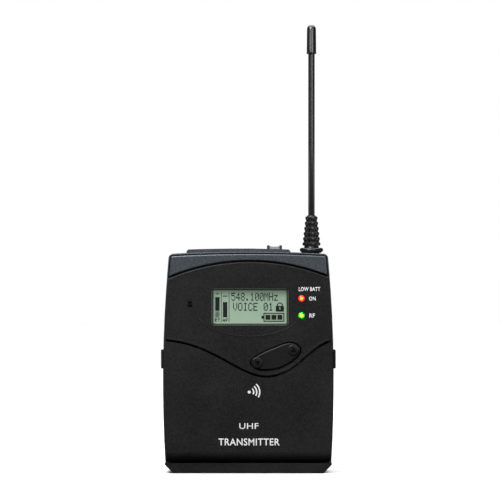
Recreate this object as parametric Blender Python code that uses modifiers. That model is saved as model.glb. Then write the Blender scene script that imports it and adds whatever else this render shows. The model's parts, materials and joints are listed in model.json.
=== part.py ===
"""A wireless bodypack transmitter, as separate pieces in one frame.

Metres, +Z up. X runs to the right as seen from the front, the front faces -Y, and the
origin is the middle of the flat bottom that the case stands on.
Outlines seen from the front are lists of (x, z); side profiles are lists of (y, z).
"""

import math

import bmesh
import bpy
from mathutils import Matrix, Vector
from mathutils.geometry import interpolate_bezier

MM = 0.001
MERGE = 0.00001

# ---------------------------------------------------------------- case
WIDTH = 62.7 * MM              # across the widest part of the barrel-shaped sides
HEIGHT = 80.1 * MM             # to the top corners of the lid
DEPTH = 24.0 * MM              # front face to back face
WALL = 1.6 * MM
GAP = 0.3 * MM                 # between pieces that touch on the real object
WIDEST_Z = 33.0 * MM
SIDE_NARROWING = 2.2184 * MM     # of each side from its widest place up to the lid's corner
SIDE_RADIUS = (HEIGHT - WIDEST_Z) ** 2 / (2 * SIDE_NARROWING)
TOP_RISE = 0.85 * MM           # crown of the lid above its corners
TOP_CORNER = 1.6 * MM
BOTTOM_CHAMFER = 3.0 * MM
FRONT_INSET = 0.5 * MM         # front pieces stand this far inside the rear shell's outline
LID_INSET = 0.9 * MM           # the lid's front stands this far inside the outline
LID_STEP = 0.4 * MM            # the lid's front face lies behind the panel's
TONGUE_THICK = 0.8 * MM        # the panel's tongue closes the seam under the lid from behind
TONGUE_REACH = 0.6 * MM

FRONT = -DEPTH / 2
BACK = DEPTH / 2
SPLIT_Y = FRONT + 9.0 * MM     # where the front pieces meet the rear shell
LID_SEAM_Z = HEIGHT - 4.1 * MM

# ---------------------------------------------------------------- front seams
SEAM_GAP = 0.6 * MM
ARC_CROWN = (0.5 * MM, HEIGHT - 2.7 * MM)
ARC_RADIUS = 76.0 * MM
SEAM_LEFT_Z = 48.5 * MM        # the wavy seam above the battery cover
SEAM_LOW = (6.5 * MM, 35.2 * MM)
SEAM_LEFT_HANDLES = (18.2 * MM, 10.0 * MM)
SEAM_RIGHT_HANDLES = (11.5 * MM, 8.7 * MM)
SEAM_OVERRUN = 1.0 * MM
SEAM_STEPS = 20
ARC_STEPS = 21

# ---------------------------------------------------------------- cover hinge and bottom rail
HINGE_RADIUS = 3.7 * MM        # the cover's lower edge is round about the hinge
RAIL_TOP = 3.7 * MM
HINGE_Z = RAIL_TOP + 0.4 * MM + HINGE_RADIUS
HINGE_Y = FRONT + HINGE_RADIUS
LIP_END_ANGLE = 60.0           # degrees of rounded lip below the flat front
SKIRT_RISE = 1.3 * MM          # the skirts' back edges start this far above the hinge
RAIL_FRONT_Y = FRONT + 1.4 * MM
PIN_RADIUS = 0.8 * MM
PIN_CLEARANCE = 0.15 * MM
EAR_RADIUS = HINGE_RADIUS - WALL - GAP
EAR_WIDTH = 1.6 * MM

# ---------------------------------------------------------------- batteries
CELL_RADIUS = 7.1 * MM
CELL_LENGTH = 49.5 * MM
CELL_NUB_RADIUS = 2.75 * MM
CELL_NUB_LENGTH = 1.0 * MM
CELL_SPACE = 0.3 * MM
SPRING_SPACE = 2.5 * MM        # at the flat end of each cell
NUB_SPACE = 1.0 * MM           # at the nub end of each cell
TRAY_WALL = 1.0 * MM
TRAY_BOTTOM = RAIL_TOP + 0.4 * MM
CONTACT_THICK = 0.4 * MM
CONTACT_WIDTH = 8.0 * MM
SPRING_WIRE = 0.35 * MM

# ---------------------------------------------------------------- side catches
CATCH_Z = 41.65 * MM
CATCH_HEIGHT = 6.9 * MM
CATCH_DEPTH = 5.0 * MM
CATCH_PROUD = 0.66 * MM        # beyond the case's side
CATCH_FLANGE = 1.2 * MM
CATCH_TRAVEL = 1.2 * MM
CATCH_SPRING_LENGTH = 2.8 * MM

# ---------------------------------------------------------------- display
DISPLAY_X = 0.6 * MM
DISPLAY_Z = HEIGHT - 19.4 * MM
WINDOW_SIZE = (27.6 * MM, 13.0 * MM)
WINDOW_THICK = 1.1 * MM
OVAL_SIZE = (20.2 * MM, 10.5 * MM)
OVAL_DEPTH = 0.8 * MM
OVAL_TAPER = 0.14              # share by which the dish's floor is smaller than its rim
GLASS_MARGIN = 1.0 * MM
GLASS_THICK = 1.7 * MM
HOLDER_THICK = 1.8 * MM
LIGHT_X = DISPLAY_X + 18.8 * MM
LIGHT_RISE = 3.1 * MM          # of each status light above or below the display's middle
LENS_RADIUS = 1.2 * MM
INFRARED_SIZE = (1.3 * MM, 2.5 * MM)
INFRARED_PLACE = (DISPLAY_X - 21.9 * MM, DISPLAY_Z + 1.3 * MM)

# ---------------------------------------------------------------- keys and inner frame
TONGUE_FRONT_Y = FRONT + LID_STEP + WALL + GAP
FRAME_FRONT_Y = TONGUE_FRONT_Y + TONGUE_THICK + GAP
FRAME_THICK = 1.0 * MM
FRAME_HALF = WIDTH / 2 - 5.35 * MM
POST_RADIUS = 2.2 * MM
SCREW_HOLE = 1.0 * MM
SCREW_SHANK = 0.85 * MM
SCREW_HEAD = 1.8 * MM
SCREW_HEAD_DEPTH = 1.0 * MM
BOARD_FRONT_Y = FRONT + 6.8 * MM
BOARD_THICK = 1.0 * MM
ROCKER_CENTRE = (9.8 * MM, 42.7 * MM)
ROCKER_TILT = 19.2             # degrees the key's length slopes up to the right
ROCKER_FRONT_Y = FRONT - 0.6 * MM
ROCKER_THICK = 2.6 * MM
ROCKER_NUB_REACH = 6.3 * MM
ROCKER_SPACE = 0.45 * MM
ROCKER_PIN_Y = FRAME_FRONT_Y - 0.2 * MM
ROCKER_PIN_RADIUS = 0.5 * MM
ROCKER_HUB_RADIUS = 1.2 * MM
ROCKER_HUB_LENGTH = 5.2 * MM
LUG_WIDTH = 1.4 * MM
BUTTON_RADIUS = 2.4 * MM
BUTTON_FLANGE = 0.4 * MM
BUTTON_SPACE = 0.15 * MM
BUTTONS = {"set": (-13.0 * MM, 39.6 * MM), "power": (-19.5 * MM, 42.0 * MM)}

# ---------------------------------------------------------------- top of the case
PLATE_LEFT = -22.65 * MM
PLATE_RIGHT = 15.4 * MM
PLATE_HALF_DEPTH = 6.6 * MM
PLATE_RISE = 1.1 * MM          # of the raised plate above the lid
PLATE_THICK = 3.0 * MM
JACK_X = -13.0 * MM
JACK_Y = 0.5 * MM
JACK_BORE = 1.8 * MM
JACK_TUBE = 3.0 * MM
JACK_BODY = 4.0 * MM
COLLAR_RADIUS = 4.6 * MM
COLLAR_HEIGHT = 1.2 * MM
SLIDER_X = 9.6 * MM
SLIDER_SIZE = (5.5 * MM, 4.0 * MM)
SLIDER_PROUD = 1.5 * MM
SLIDER_TRAVEL = 3.0 * MM
SLIDER_STEM = (2.4 * MM, 1.6 * MM)
TROUGH_DEPTH = 0.8 * MM

# ---------------------------------------------------------------- antenna
ANTENNA_X = 23.2 * MM
ANTENNA_Y = 0.5 * MM
NECK_RADIUS = 2.95 * MM
FLANGE_RADIUS = 4.32 * MM
FLANGE_HEIGHT = 1.6 * MM
BOOT_RIBS = 6
RIB_PITCH = 1.94 * MM
RIB_LOW_RADIUS = 3.3 * MM
RIB_TOP_RADIUS = 2.25 * MM
RIB_GROOVE = 0.45 * MM
ROD_RADIUS = 1.185 * MM
ROD_TOP_Z = HEIGHT + 72.3 * MM
TIP_LENGTH = 11.5 * MM
TIP_RADIUS = 1.7 * MM

# ---------------------------------------------------------------- belt clip
CLIP_WIRE = 1.2 * MM
CLIP_PIVOT_Z = HEIGHT - 15.0 * MM
CLIP_PIVOT_OUT = 2.5 * MM      # of the clip's hinge line behind the back face
CLIP_HALF = 15.5 * MM
CLIP_CORNER = 2.4 * MM
CLIP_BELT_SPACE = 5.0 * MM
CLIP_LOW_Z = 9.0 * MM
LUG_HALF = 2.3 * MM


# ---------------------------------------------------------------- scene helpers
def clear_scene():
    for old in list(bpy.data.objects):
        bpy.data.objects.remove(old, do_unlink=True)


def new_collection(name):
    collection = bpy.data.collections.new(name)
    bpy.context.scene.collection.children.link(collection)
    return collection


clear_scene()
PARTS = new_collection("bodypack_transmitter")
CUTTERS = new_collection("cutters")


def finish(name, color, roughness, metallic=0.0):
    material = bpy.data.materials.new(name)
    material.use_nodes = True
    shader = material.node_tree.nodes["Principled BSDF"]
    shader.inputs["Base Color"].default_value = (*color, 1.0)
    shader.inputs["Roughness"].default_value = roughness
    shader.inputs["Metallic"].default_value = metallic
    return material


def place(name, mesh, matrix=None):
    """A new object, kept with the cutters until paint() makes it a part."""
    piece = bpy.data.objects.new(name, mesh)
    piece.matrix_world = matrix or Matrix.Identity(4)
    piece.hide_render = True
    piece.display_type = "WIRE"
    CUTTERS.objects.link(piece)
    return piece


def paint(piece, material):
    CUTTERS.objects.unlink(piece)
    PARTS.objects.link(piece)
    piece.hide_render = False
    piece.display_type = "TEXTURED"
    piece.data.materials.clear()
    piece.data.materials.append(material)
    return piece


def hang(location, *pieces):
    """Parent moving pieces to an empty that stands on their joint's axis."""
    axis = bpy.data.objects.new(pieces[0].name + "_axis", None)
    axis.location = location
    PARTS.objects.link(axis)
    bpy.context.view_layer.update()
    for piece in pieces:
        piece.parent = axis
        piece.matrix_parent_inverse = axis.matrix_world.inverted()


def box(name, x, y, z):
    """A box between (low, high) pairs along each axis."""
    bm = bmesh.new()
    bmesh.ops.create_cube(bm, size=1.0)
    size = Vector([pair[1] - pair[0] for pair in (x, y, z)])
    middle = Vector([(pair[1] + pair[0]) / 2 for pair in (x, y, z)])
    bmesh.ops.scale(bm, vec=size, verts=bm.verts)
    bmesh.ops.translate(bm, vec=middle, verts=bm.verts)
    mesh = bpy.data.meshes.new(name)
    bm.to_mesh(mesh)
    bm.free()
    return place(name, mesh)


def rod(name, start, end, radius, end_radius=None, sides=24):
    """A round bar or cone between two points."""
    start, end = Vector(start), Vector(end)
    bm = bmesh.new()
    bmesh.ops.create_cone(
        bm,
        cap_ends=True,
        segments=sides,
        radius1=radius,
        radius2=radius if end_radius is None else end_radius,
        depth=(end - start).length,
    )
    turn = (end - start).to_track_quat("Z", "Y").to_matrix().to_4x4()
    bmesh.ops.transform(bm, matrix=Matrix.Translation((start + end) / 2) @ turn, verts=bm.verts)
    mesh = bpy.data.meshes.new(name)
    bm.to_mesh(mesh)
    bm.free()
    mesh.shade_smooth()
    mesh.set_sharp_from_angle(angle=math.radians(40))
    return place(name, mesh)


def welded(curve_object):
    """The curve as a closed mesh, so that it can be cut."""
    bpy.context.view_layer.update()
    graph = bpy.context.evaluated_depsgraph_get()
    mesh = bpy.data.meshes.new_from_object(curve_object.evaluated_get(graph))
    bm = bmesh.new()
    bm.from_mesh(mesh)
    bmesh.ops.remove_doubles(bm, verts=bm.verts, dist=MERGE)
    bmesh.ops.recalc_face_normals(bm, faces=bm.faces)
    bm.to_mesh(mesh)
    bm.free()
    name = curve_object.name
    matrix = curve_object.matrix_world.copy()
    bpy.data.objects.remove(curve_object, do_unlink=True)
    return place(name, mesh, matrix)


FACING = {
    "X": Matrix(((0, 0, 1), (1, 0, 0), (0, 1, 0))),
    "Y": Matrix(((1, 0, 0), (0, 0, -1), (0, 1, 0))),
    "Z": Matrix.Identity(3),
}


def plate(name, outline, low, high, along="Y"):
    """A flat outline made thick along one axis, from low to high."""
    curve = bpy.data.curves.new(name, "CURVE")
    curve.dimensions = "2D"
    curve.fill_mode = "BOTH"
    curve.extrude = (high - low) / 2
    spline = curve.splines.new("POLY")
    spline.points.add(len(outline) - 1)
    for point, (across, up) in zip(spline.points, outline):
        point.co = (across, up, 0.0, 1.0)
    spline.use_cyclic_u = True
    middle = Vector([(low + high) / 2 if axis == along else 0.0 for axis in "XYZ"])
    piece = place(name, curve, Matrix.Translation(middle) @ FACING[along].to_4x4())
    return welded(piece)


def turned(name, profile, origin, steps=32, ring=False):
    """A profile of (radius, z) points turned about the vertical through origin.

    The profile runs down the outer side, from the top to the bottom.
    """
    mesh = bpy.data.meshes.new(name)
    edges = [(i, i + 1) for i in range(len(profile) - 1)]
    if ring:
        edges.append((len(profile) - 1, 0))
    mesh.from_pydata([(radius, 0.0, z) for radius, z in profile], edges, [])
    piece = place(name, mesh, Matrix.Translation(origin))
    screw = piece.modifiers.new("turn", "SCREW")
    screw.steps = steps
    screw.render_steps = steps
    screw.use_merge_vertices = True
    screw.merge_threshold = MERGE
    return piece


def wire(name, points, radius, resolution=2):
    curve = bpy.data.curves.new(name, "CURVE")
    curve.dimensions = "3D"
    curve.bevel_depth = radius
    curve.bevel_resolution = resolution
    curve.use_fill_caps = True
    spline = curve.splines.new("POLY")
    spline.points.add(len(points) - 1)
    for point, place_at in zip(spline.points, points):
        point.co = (*place_at, 1.0)
    return welded(place(name, curve))


def combine(piece, tool, operation):
    step = piece.modifiers.new(tool.name, "BOOLEAN")
    step.operation = operation
    step.object = tool


def cut(piece, *tools):
    for tool in tools:
        combine(piece, tool, "DIFFERENCE")
    return piece


def join(piece, *tools):
    for tool in tools:
        combine(piece, tool, "UNION")
    return piece


def keep(piece, *tools):
    for tool in tools:
        combine(piece, tool, "INTERSECT")
    return piece


# ---------------------------------------------------------------- outlines
def half_width(z, inset=0.0):
    """The case's half width at a height: long barrel arcs, widest at WIDEST_Z."""
    return WIDTH / 2 - inset - (z - WIDEST_Z) ** 2 / (2 * SIDE_RADIUS)


def lid_top(x):
    """Height of the lid's gently crowned top."""
    return HEIGHT + TOP_RISE * (1 - (x / half_width(HEIGHT)) ** 2)


def spread(low, high, count):
    return [low + (high - low) * i / (count - 1) for i in range(count)]


def case_outline(inset=0.0, low=None, high=None):
    """The case seen from the front, drawn in by inset; low and high cut it off flat."""
    bevel = inset * math.tan(math.radians(22.5))
    right = []
    if low is None:
        foot = half_width(BOTTOM_CHAMFER) - BOTTOM_CHAMFER
        right += [(foot - bevel, inset)]
        low = BOTTOM_CHAMFER + bevel
    ends_flat = high is not None
    top = high if ends_flat else HEIGHT - TOP_CORNER
    right += [(half_width(z, inset), z) for z in spread(low, top, 9)]
    if not ends_flat:
        radius = max(TOP_CORNER - inset, 0.1 * MM)
        centre_x = half_width(top, inset) - radius
        centre_z = HEIGHT - inset - radius
        for degrees in (22, 45, 68):
            turn = math.radians(degrees)
            right.append((centre_x + radius * math.cos(turn), centre_z + radius * math.sin(turn)))
        right += [(x, lid_top(x) - inset) for x in spread(centre_x, 3 * MM, 6)]
    left = [(-x, z) for x, z in reversed(right)]
    return right + left


def offset_line(points, distance, closed=False):
    """The line moved sideways, to the left of its direction for a positive distance."""
    moved = []
    count = len(points)
    for i in range(count):
        before = points[i - 1] if closed or i > 0 else points[i]
        after = points[(i + 1) % count] if closed or i < count - 1 else points[i]
        run = Vector((after[0] - before[0], after[1] - before[1])).normalized()
        moved.append((points[i][0] - run.y * distance, points[i][1] + run.x * distance))
    return moved


def bezier(points, steps):
    return [(p.x, p.y) for p in interpolate_bezier(*[Vector(p) for p in points], steps)]


def wavy_seam(distance=0.0):
    """Middle line of the seam over the battery cover, left to right, moved up by distance."""
    reach = WIDTH / 2 + SEAM_OVERRUN
    low_x, low_z = SEAM_LOW
    left_out, left_in = SEAM_LEFT_HANDLES
    right_in, right_out = SEAM_RIGHT_HANDLES
    start = (-reach, SEAM_LEFT_Z)
    end = (reach, SEAM_LEFT_Z)
    first = bezier([start, (left_out - reach, SEAM_LEFT_Z), (low_x - left_in, low_z), SEAM_LOW], SEAM_STEPS)
    second = bezier([SEAM_LOW, (low_x + right_in, low_z), (reach - right_out, SEAM_LEFT_Z), end], SEAM_STEPS)
    return offset_line(first + second[1:], distance)


def arc_seam(distance=0.0):
    """Middle line of the seam under the lid, left to right, moved up by distance."""
    crown_x, crown_z = ARC_CROWN
    reach = WIDTH / 2 + SEAM_OVERRUN
    radius = ARC_RADIUS + distance
    line = []
    for x in spread(-reach, reach, ARC_STEPS):
        drop = radius - math.sqrt(radius**2 - (x - crown_x) ** 2)
        line.append((x, crown_z + distance - drop))
    return line


def ellipse(centre, half_size, count=64):
    turns = [2 * math.pi * i / count for i in range(count)]
    return [(centre[0] + half_size[0] * math.cos(t), centre[1] + half_size[1] * math.sin(t)) for t in turns]


def rounded(centre, size, radius, count=4):
    """A rectangle with round corners."""
    outline = []
    for corner, (sx, sz) in enumerate(((1, 1), (-1, 1), (-1, -1), (1, -1))):
        mx = centre[0] + sx * (size[0] / 2 - radius)
        mz = centre[1] + sz * (size[1] / 2 - radius)
        for i in range(count + 1):
            turn = math.radians(90 * (corner + i / count))
            outline.append((mx + radius * math.cos(turn), mz + radius * math.sin(turn)))
    return outline


def smooth_loop(points, steps=5):
    """A closed smooth curve through the points."""
    loop = []
    count = len(points)
    for i in range(count):
        before, here, after, beyond = [Vector(points[(i + k) % count]) for k in (-1, 0, 1, 2)]
        handles = here + (after - before) / 6, after - (beyond - here) / 6
        loop += bezier([here, *handles, after], steps)[:-1]
    return loop


def rocker_outline(grow=0.0):
    """A bean that slopes up to the right and follows the wavy seam below it."""
    upper = [(-8.9, -2.4), (-6.4, 0.3), (-1.1, 2.8), (5.4, 4.95)]
    lower = [(9.2, 2.7), (7.1, -1.0), (1.2, -4.3), (-5.5, -4.8)]
    from_centre = upper + lower
    points = [(ROCKER_CENTRE[0] + x * MM, ROCKER_CENTRE[1] + z * MM) for x, z in from_centre]
    return offset_line(smooth_loop(points), grow, closed=True)


# ---------------------------------------------------------------- finishes
BLACK = finish("black_plastic", (0.025, 0.025, 0.026), 0.55)
SLATE = finish("slate_paint", (0.052, 0.062, 0.072), 0.5, 0.2)
KEY = finish("key_rubber", (0.02, 0.02, 0.021), 0.6)
FRAME = finish("frame_plastic", (0.015, 0.015, 0.016), 0.7)
CLEAR = finish("clear_plastic", (0.6, 0.66, 0.62), 0.08)
GLASS = finish("display_glass", (0.31, 0.41, 0.31), 0.2)
RED = finish("red_lens", (0.8, 0.03, 0.01), 0.2)
GREEN = finish("green_lens", (0.05, 0.7, 0.08), 0.2)
BOARD = finish("circuit_board", (0.02, 0.12, 0.05), 0.5)
STEEL = finish("plated_steel", (0.6, 0.6, 0.58), 0.3, 1.0)
GOLD = finish("gold_plate", (0.8, 0.6, 0.25), 0.25, 1.0)
DARK_STEEL = finish("black_steel", (0.05, 0.05, 0.055), 0.35, 0.8)
WRAP = finish("battery_wrap", (0.1, 0.1, 0.11), 0.4)
RUBBER = finish("antenna_rubber", (0.018, 0.018, 0.018), 0.7)
DARK_LENS = finish("infrared_plastic", (0.03, 0.005, 0.01), 0.15)


# ---------------------------------------------------------------- shells
CLIP_PIVOT = Vector((0.0, BACK + CLIP_PIVOT_OUT, CLIP_PIVOT_Z))
LUG_INNER = CLIP_HALF + CLIP_CORNER + GAP
LUG_OUTER = LUG_INNER + 4.5 * MM
POSTS = [
    (side * (FRAME_HALF - 2.4 * MM), z)
    for z in (38.2 * MM, HEIGHT - 9.6 * MM)
    for side in (-1, 1)
]
CHARGE_X = 5.0 * MM
CHARGE_Z = 6.0 * MM
CHARGE_RADIUS = 1.25 * MM


def make_rear_shell():
    shell = plate("rear_shell", case_outline(high=LID_SEAM_Z - GAP), SPLIT_Y, BACK)
    hollow = plate("rear_hollow", case_outline(WALL, high=HEIGHT), SPLIT_Y - WALL, BACK - WALL)
    rail = plate("bottom_rail", case_outline(high=RAIL_TOP), RAIL_FRONT_Y, SPLIT_Y + 1.0 * MM)
    cut(shell, hollow)
    join(shell, rail)
    for side in (-1, 1):
        across = sorted((side * LUG_INNER, side * LUG_OUTER))
        lug = box(
            f"clip_lug_{side}",
            across,
            (BACK - 0.5 * MM, CLIP_PIVOT.y + LUG_HALF),
            (CLIP_PIVOT_Z - LUG_HALF, CLIP_PIVOT_Z + LUG_HALF),
        )
        start = (side * (LUG_INNER - 1.0 * MM), CLIP_PIVOT.y, CLIP_PIVOT_Z)
        end = (side * (LUG_OUTER - 1.0 * MM), CLIP_PIVOT.y, CLIP_PIVOT_Z)
        bore = rod(f"clip_bore_{side}", start, end, CLIP_WIRE + PIN_CLEARANCE)
        join(shell, lug)
        cut(shell, bore)
        pad = (side * CHARGE_X, BACK + 1.0 * MM, CHARGE_Z)
        inside = (side * CHARGE_X, BACK - WALL - 1.0 * MM, CHARGE_Z)
        cut(shell, rod(f"charge_hole_{side}", inside, pad, CHARGE_RADIUS + BUTTON_SPACE))
    for number, (x, z) in enumerate(POSTS, 1):
        through = rod(f"screw_way_{number}", (x, BACK - 2 * WALL, z), (x, BACK + 1.0 * MM, z), SCREW_HOLE)
        floor = BACK - SCREW_HEAD_DEPTH - 0.15 * MM
        head = rod(f"head_way_{number}", (x, floor, z), (x, BACK + 1.0 * MM, z), SCREW_HEAD + 0.2 * MM)
        cut(shell, through, head)
    paint(shell, SLATE)


def make_lid():
    face_y = FRONT + LID_STEP
    skirt_outline = case_outline(LID_INSET, low=HEIGHT - 12.0 * MM)
    skirt = plate("top_lid", skirt_outline, face_y, SPLIT_Y - GAP)
    below_arc = arc_seam(SEAM_GAP / 2)
    reach = WIDTH / 2 + SEAM_OVERRUN
    below_arc += [(reach, HEIGHT / 2), (-reach, HEIGHT / 2)]
    cut(skirt, plate("under_arc", below_arc, face_y - WALL, SPLIT_Y + WALL))
    join(skirt, plate("lid_rear", case_outline(low=LID_SEAM_Z), SPLIT_Y - 2 * GAP, BACK))
    inner = case_outline(WALL + LID_INSET, low=HEIGHT / 2)
    cut(skirt, plate("lid_hollow", inner, face_y + WALL, BACK - WALL))
    opening = box(
        "plate_opening",
        (PLATE_LEFT - BUTTON_SPACE, PLATE_RIGHT + BUTTON_SPACE),
        (JACK_Y - PLATE_HALF_DEPTH - BUTTON_SPACE, JACK_Y + PLATE_HALF_DEPTH + BUTTON_SPACE),
        (HEIGHT - 4.0 * MM, HEIGHT + 4.0 * MM),
    )
    foot = (ANTENNA_X, ANTENNA_Y, HEIGHT - 4.0 * MM)
    head = (ANTENNA_X, ANTENNA_Y, HEIGHT + 4.0 * MM)
    cut(skirt, opening, rod("antenna_way", foot, head, NECK_RADIUS + BUTTON_SPACE))
    paint(skirt, SLATE)


def arc_band(name, below, above, low_y, high_y):
    """A strip along the arc seam, as wide as the inner frame."""
    crown_x, crown_z = ARC_CROWN
    half = FRAME_HALF - GAP
    sides = []
    for distance in (below, above):
        radius = ARC_RADIUS + distance
        heights = []
        for x in spread(-half, half, ARC_STEPS):
            heights.append((x, crown_z - ARC_RADIUS + math.sqrt(radius**2 - (x - crown_x) ** 2)))
        sides.append(heights)
    return plate(name, sides[0] + list(reversed(sides[1])), low_y, high_y)


def lens_hole(z, radius, low, high, name):
    return rod(name, (LIGHT_X, low, z), (LIGHT_X, high, z), radius)


def oval_dish():
    """The shallow dish round the display: its floor is smaller than its rim."""
    centre = (DISPLAY_X - 0.3 * MM, DISPLAY_Z - 0.2 * MM)
    dish = plate("oval_recess", ellipse(centre, OVAL_SIZE), FRONT - OVAL_DEPTH, FRONT + OVAL_DEPTH)
    for vertex in dish.data.vertices:
        grow = 1.0 - OVAL_TAPER if vertex.co.y > FRONT else 1.0 + OVAL_TAPER
        vertex.co.x = centre[0] + (vertex.co.x - centre[0]) * grow
        vertex.co.z = centre[1] + (vertex.co.z - centre[1]) * grow
    return dish


def make_front_panel():
    """The stretch of the case's front between the two seams."""
    panel = plate("front_panel", case_outline(FRONT_INSET, RAIL_TOP, HEIGHT), FRONT, SPLIT_Y - GAP)
    between = wavy_seam(SEAM_GAP / 2) + list(reversed(arc_seam(-SEAM_GAP / 2)))
    keep(panel, plate("between_seams", between, FRONT - WALL, SPLIT_Y + WALL))
    inner = case_outline(FRONT_INSET + WALL, RAIL_TOP, HEIGHT)
    cut(panel, plate("panel_hollow", inner, FRONT + WALL, SPLIT_Y + WALL))
    tongue_back = FRAME_FRONT_Y - GAP
    join(
        panel,
        arc_band("tongue_root", -2.5 * MM, -SEAM_GAP, FRONT + WALL - 0.2 * MM, tongue_back - 0.2 * MM),
        arc_band("tongue", -1.0 * MM, TONGUE_REACH, TONGUE_FRONT_Y, tongue_back),
    )
    cut(panel, oval_dish())
    opening = [side + 2 * BUTTON_SPACE for side in WINDOW_SIZE]
    window_way = rounded((DISPLAY_X, DISPLAY_Z), opening, 0.8 * MM)
    cut(panel, plate("window_way", window_way, FRONT - 1.0 * MM, FRONT + 2 * WALL))
    cut(panel, plate("rocker_way", rocker_outline(ROCKER_SPACE), FRONT - 1.0 * MM, FRONT + 2 * WALL))
    for side in (-1, 1):
        z = DISPLAY_Z + side * LIGHT_RISE
        hole = lens_hole(z, LENS_RADIUS + BUTTON_SPACE, FRONT - 1.0 * MM, FRONT + 2 * WALL, f"lens_way_{side}")
        cut(panel, hole)
    opening = [side + 2 * BUTTON_SPACE for side in INFRARED_SIZE]
    infrared_way = rounded(INFRARED_PLACE, opening, 0.4 * MM, 2)
    cut(panel, plate("infrared_way", infrared_way, FRONT - 1.0 * MM, FRONT + 2 * WALL))
    paint(panel, BLACK)


def cover_profile(radius, back_y, back_rise):
    """Side profile of the cover: flat front, round lip about the hinge, back edge above it."""
    front_y = HINGE_Y - radius
    profile = [(front_y, HEIGHT), (front_y, HINGE_Z)]
    for i in range(1, 13):
        turn = math.radians(180 + 15 * i)
        profile.append((HINGE_Y + radius * math.cos(turn), HINGE_Z + radius * math.sin(turn)))
    profile.append((back_y, HINGE_Z + back_rise))
    profile.append((back_y, HEIGHT))
    return profile


def make_cover():
    back_y = SPLIT_Y - GAP
    reach = WIDTH / 2 + SEAM_OVERRUN
    cover = plate("battery_cover", case_outline(FRONT_INSET, RAIL_TOP, HEIGHT), FRONT, back_y)
    below_seam = wavy_seam(-SEAM_GAP / 2) + [(reach, 0.0), (-reach, 0.0)]
    keep(cover, plate("below_seam", below_seam, FRONT - WALL, back_y + WALL))
    side = cover_profile(HINGE_RADIUS, back_y, SKIRT_RISE)
    keep(cover, plate("cover_side", side, -reach, reach, "X"))
    inner_outline = case_outline(FRONT_INSET + WALL, 0.0, HEIGHT)
    inner = plate("cover_hollow", inner_outline, FRONT + 0.2 * MM, back_y + WALL)
    inner_side = cover_profile(HINGE_RADIUS - WALL, back_y + 2 * WALL, -HINGE_RADIUS)
    keep(inner, plate("cover_inner_side", inner_side, -reach, reach, "X"))
    cut(cover, inner)
    skirt_inside = half_width(HINGE_Z, FRONT_INSET + WALL)
    slope = math.radians(180 + LIP_END_ANGLE)
    lip_y = HINGE_Y + HINGE_RADIUS * math.cos(slope)
    lip_trim = box(
        "lip_trim",
        (-skirt_inside, skirt_inside),
        (lip_y, back_y + WALL),
        (RAIL_TOP - 1.0 * MM, HINGE_Z),
    )
    cut(cover, lip_trim)
    low_corner = box(
        "skirt_trim",
        (-reach, reach),
        (HINGE_Y + HINGE_RADIUS + 0.05 * MM, back_y + WALL),
        (0.0, HINGE_Z),
    )
    cut(cover, low_corner)
    pin_ends = [(side * reach, HINGE_Y, HINGE_Z) for side in (-1, 1)]
    pin_way = rod("cover_pin_way", *pin_ends, PIN_RADIUS + PIN_CLEARANCE)
    cut(cover, pin_way)
    for side in (-1, 1):
        across = sorted((side * (half_width(CATCH_Z) - 4.0 * MM), side * reach))
        slot_half = CATCH_HEIGHT / 2 + GAP
        slot = box(
            f"catch_slot_{side}",
            across,
            (CATCH_Y - CATCH_DEPTH / 2 - GAP, CATCH_Y + CATCH_DEPTH / 2 + GAP),
            (CATCH_Z - slot_half, CATCH_Z + slot_half),
        )
        cut(cover, slot)
        stop_outer = CATCH_FLANGE_INSIDE - GAP - CATCH_SPRING_LENGTH - GAP
        across = sorted((side * (stop_outer - 1.0 * MM), side * stop_outer))
        stop = box(
            f"spring_stop_{side}",
            across,
            (FRONT + WALL - 0.5 * MM, FRAME_FRONT_Y - GAP),
            (CATCH_Z - 1.5 * MM, CATCH_Z + 1.5 * MM),
        )
        join(cover, stop)
    paint(cover, BLACK)
    return cover


CATCH_Y = FRONT + 4.9 * MM
CATCH_FLANGE_OUTSIDE = half_width(CATCH_Z, FRONT_INSET + WALL) - 0.4 * MM
CATCH_FLANGE_INSIDE = CATCH_FLANGE_OUTSIDE - CATCH_FLANGE


def helix(start, axis_x, length, turns, radius, end_radius, steps=9):
    """Points of a coil spring along X."""
    points = []
    count = int(turns * steps)
    for i in range(count + 1):
        share = i / count
        turn = 2 * math.pi * turns * share
        now = radius + (end_radius - radius) * share
        x = start[0] + axis_x * length * share
        points.append((x, start[1] + now * math.cos(turn), start[2] + now * math.sin(turn)))
    return points


def make_catches(cover):
    hinge = (0.0, HINGE_Y, HINGE_Z)
    cover_pieces = [cover]
    for side, name in ((-1, "left"), (1, "right")):
        outer = half_width(CATCH_Z) + CATCH_PROUD
        tab = box(
            f"{name}_catch",
            sorted((side * CATCH_FLANGE_INSIDE, side * outer)),
            (CATCH_Y - CATCH_DEPTH / 2, CATCH_Y + CATCH_DEPTH / 2),
            (CATCH_Z - CATCH_HEIGHT / 2, CATCH_Z + CATCH_HEIGHT / 2),
        )
        flange = box(
            f"{name}_catch_flange",
            sorted((side * CATCH_FLANGE_INSIDE, side * CATCH_FLANGE_OUTSIDE)),
            (FRONT + WALL + GAP, CATCH_Y + CATCH_DEPTH / 2 + 0.6 * MM),
            (CATCH_Z - CATCH_HEIGHT / 2 - 0.8 * MM, CATCH_Z + CATCH_HEIGHT / 2 + 0.8 * MM),
        )
        paint(join(tab, flange), BLACK)
        hang((side * outer, CATCH_Y, CATCH_Z), tab)
        spring_y = (FRONT + WALL + FRAME_FRONT_Y) / 2
        start = (side * (CATCH_FLANGE_INSIDE - GAP - 0.15 * MM), spring_y, CATCH_Z)
        length = CATCH_SPRING_LENGTH - GAP
        coil = helix(start, -side, length, 5, 0.5 * MM, 0.5 * MM, 7)
        spring = paint(wire(f"{name}_catch_spring", coil, 0.13 * MM, 0), STEEL)
        cover_pieces.append(spring)
    hang(hinge, *cover_pieces)


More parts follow.
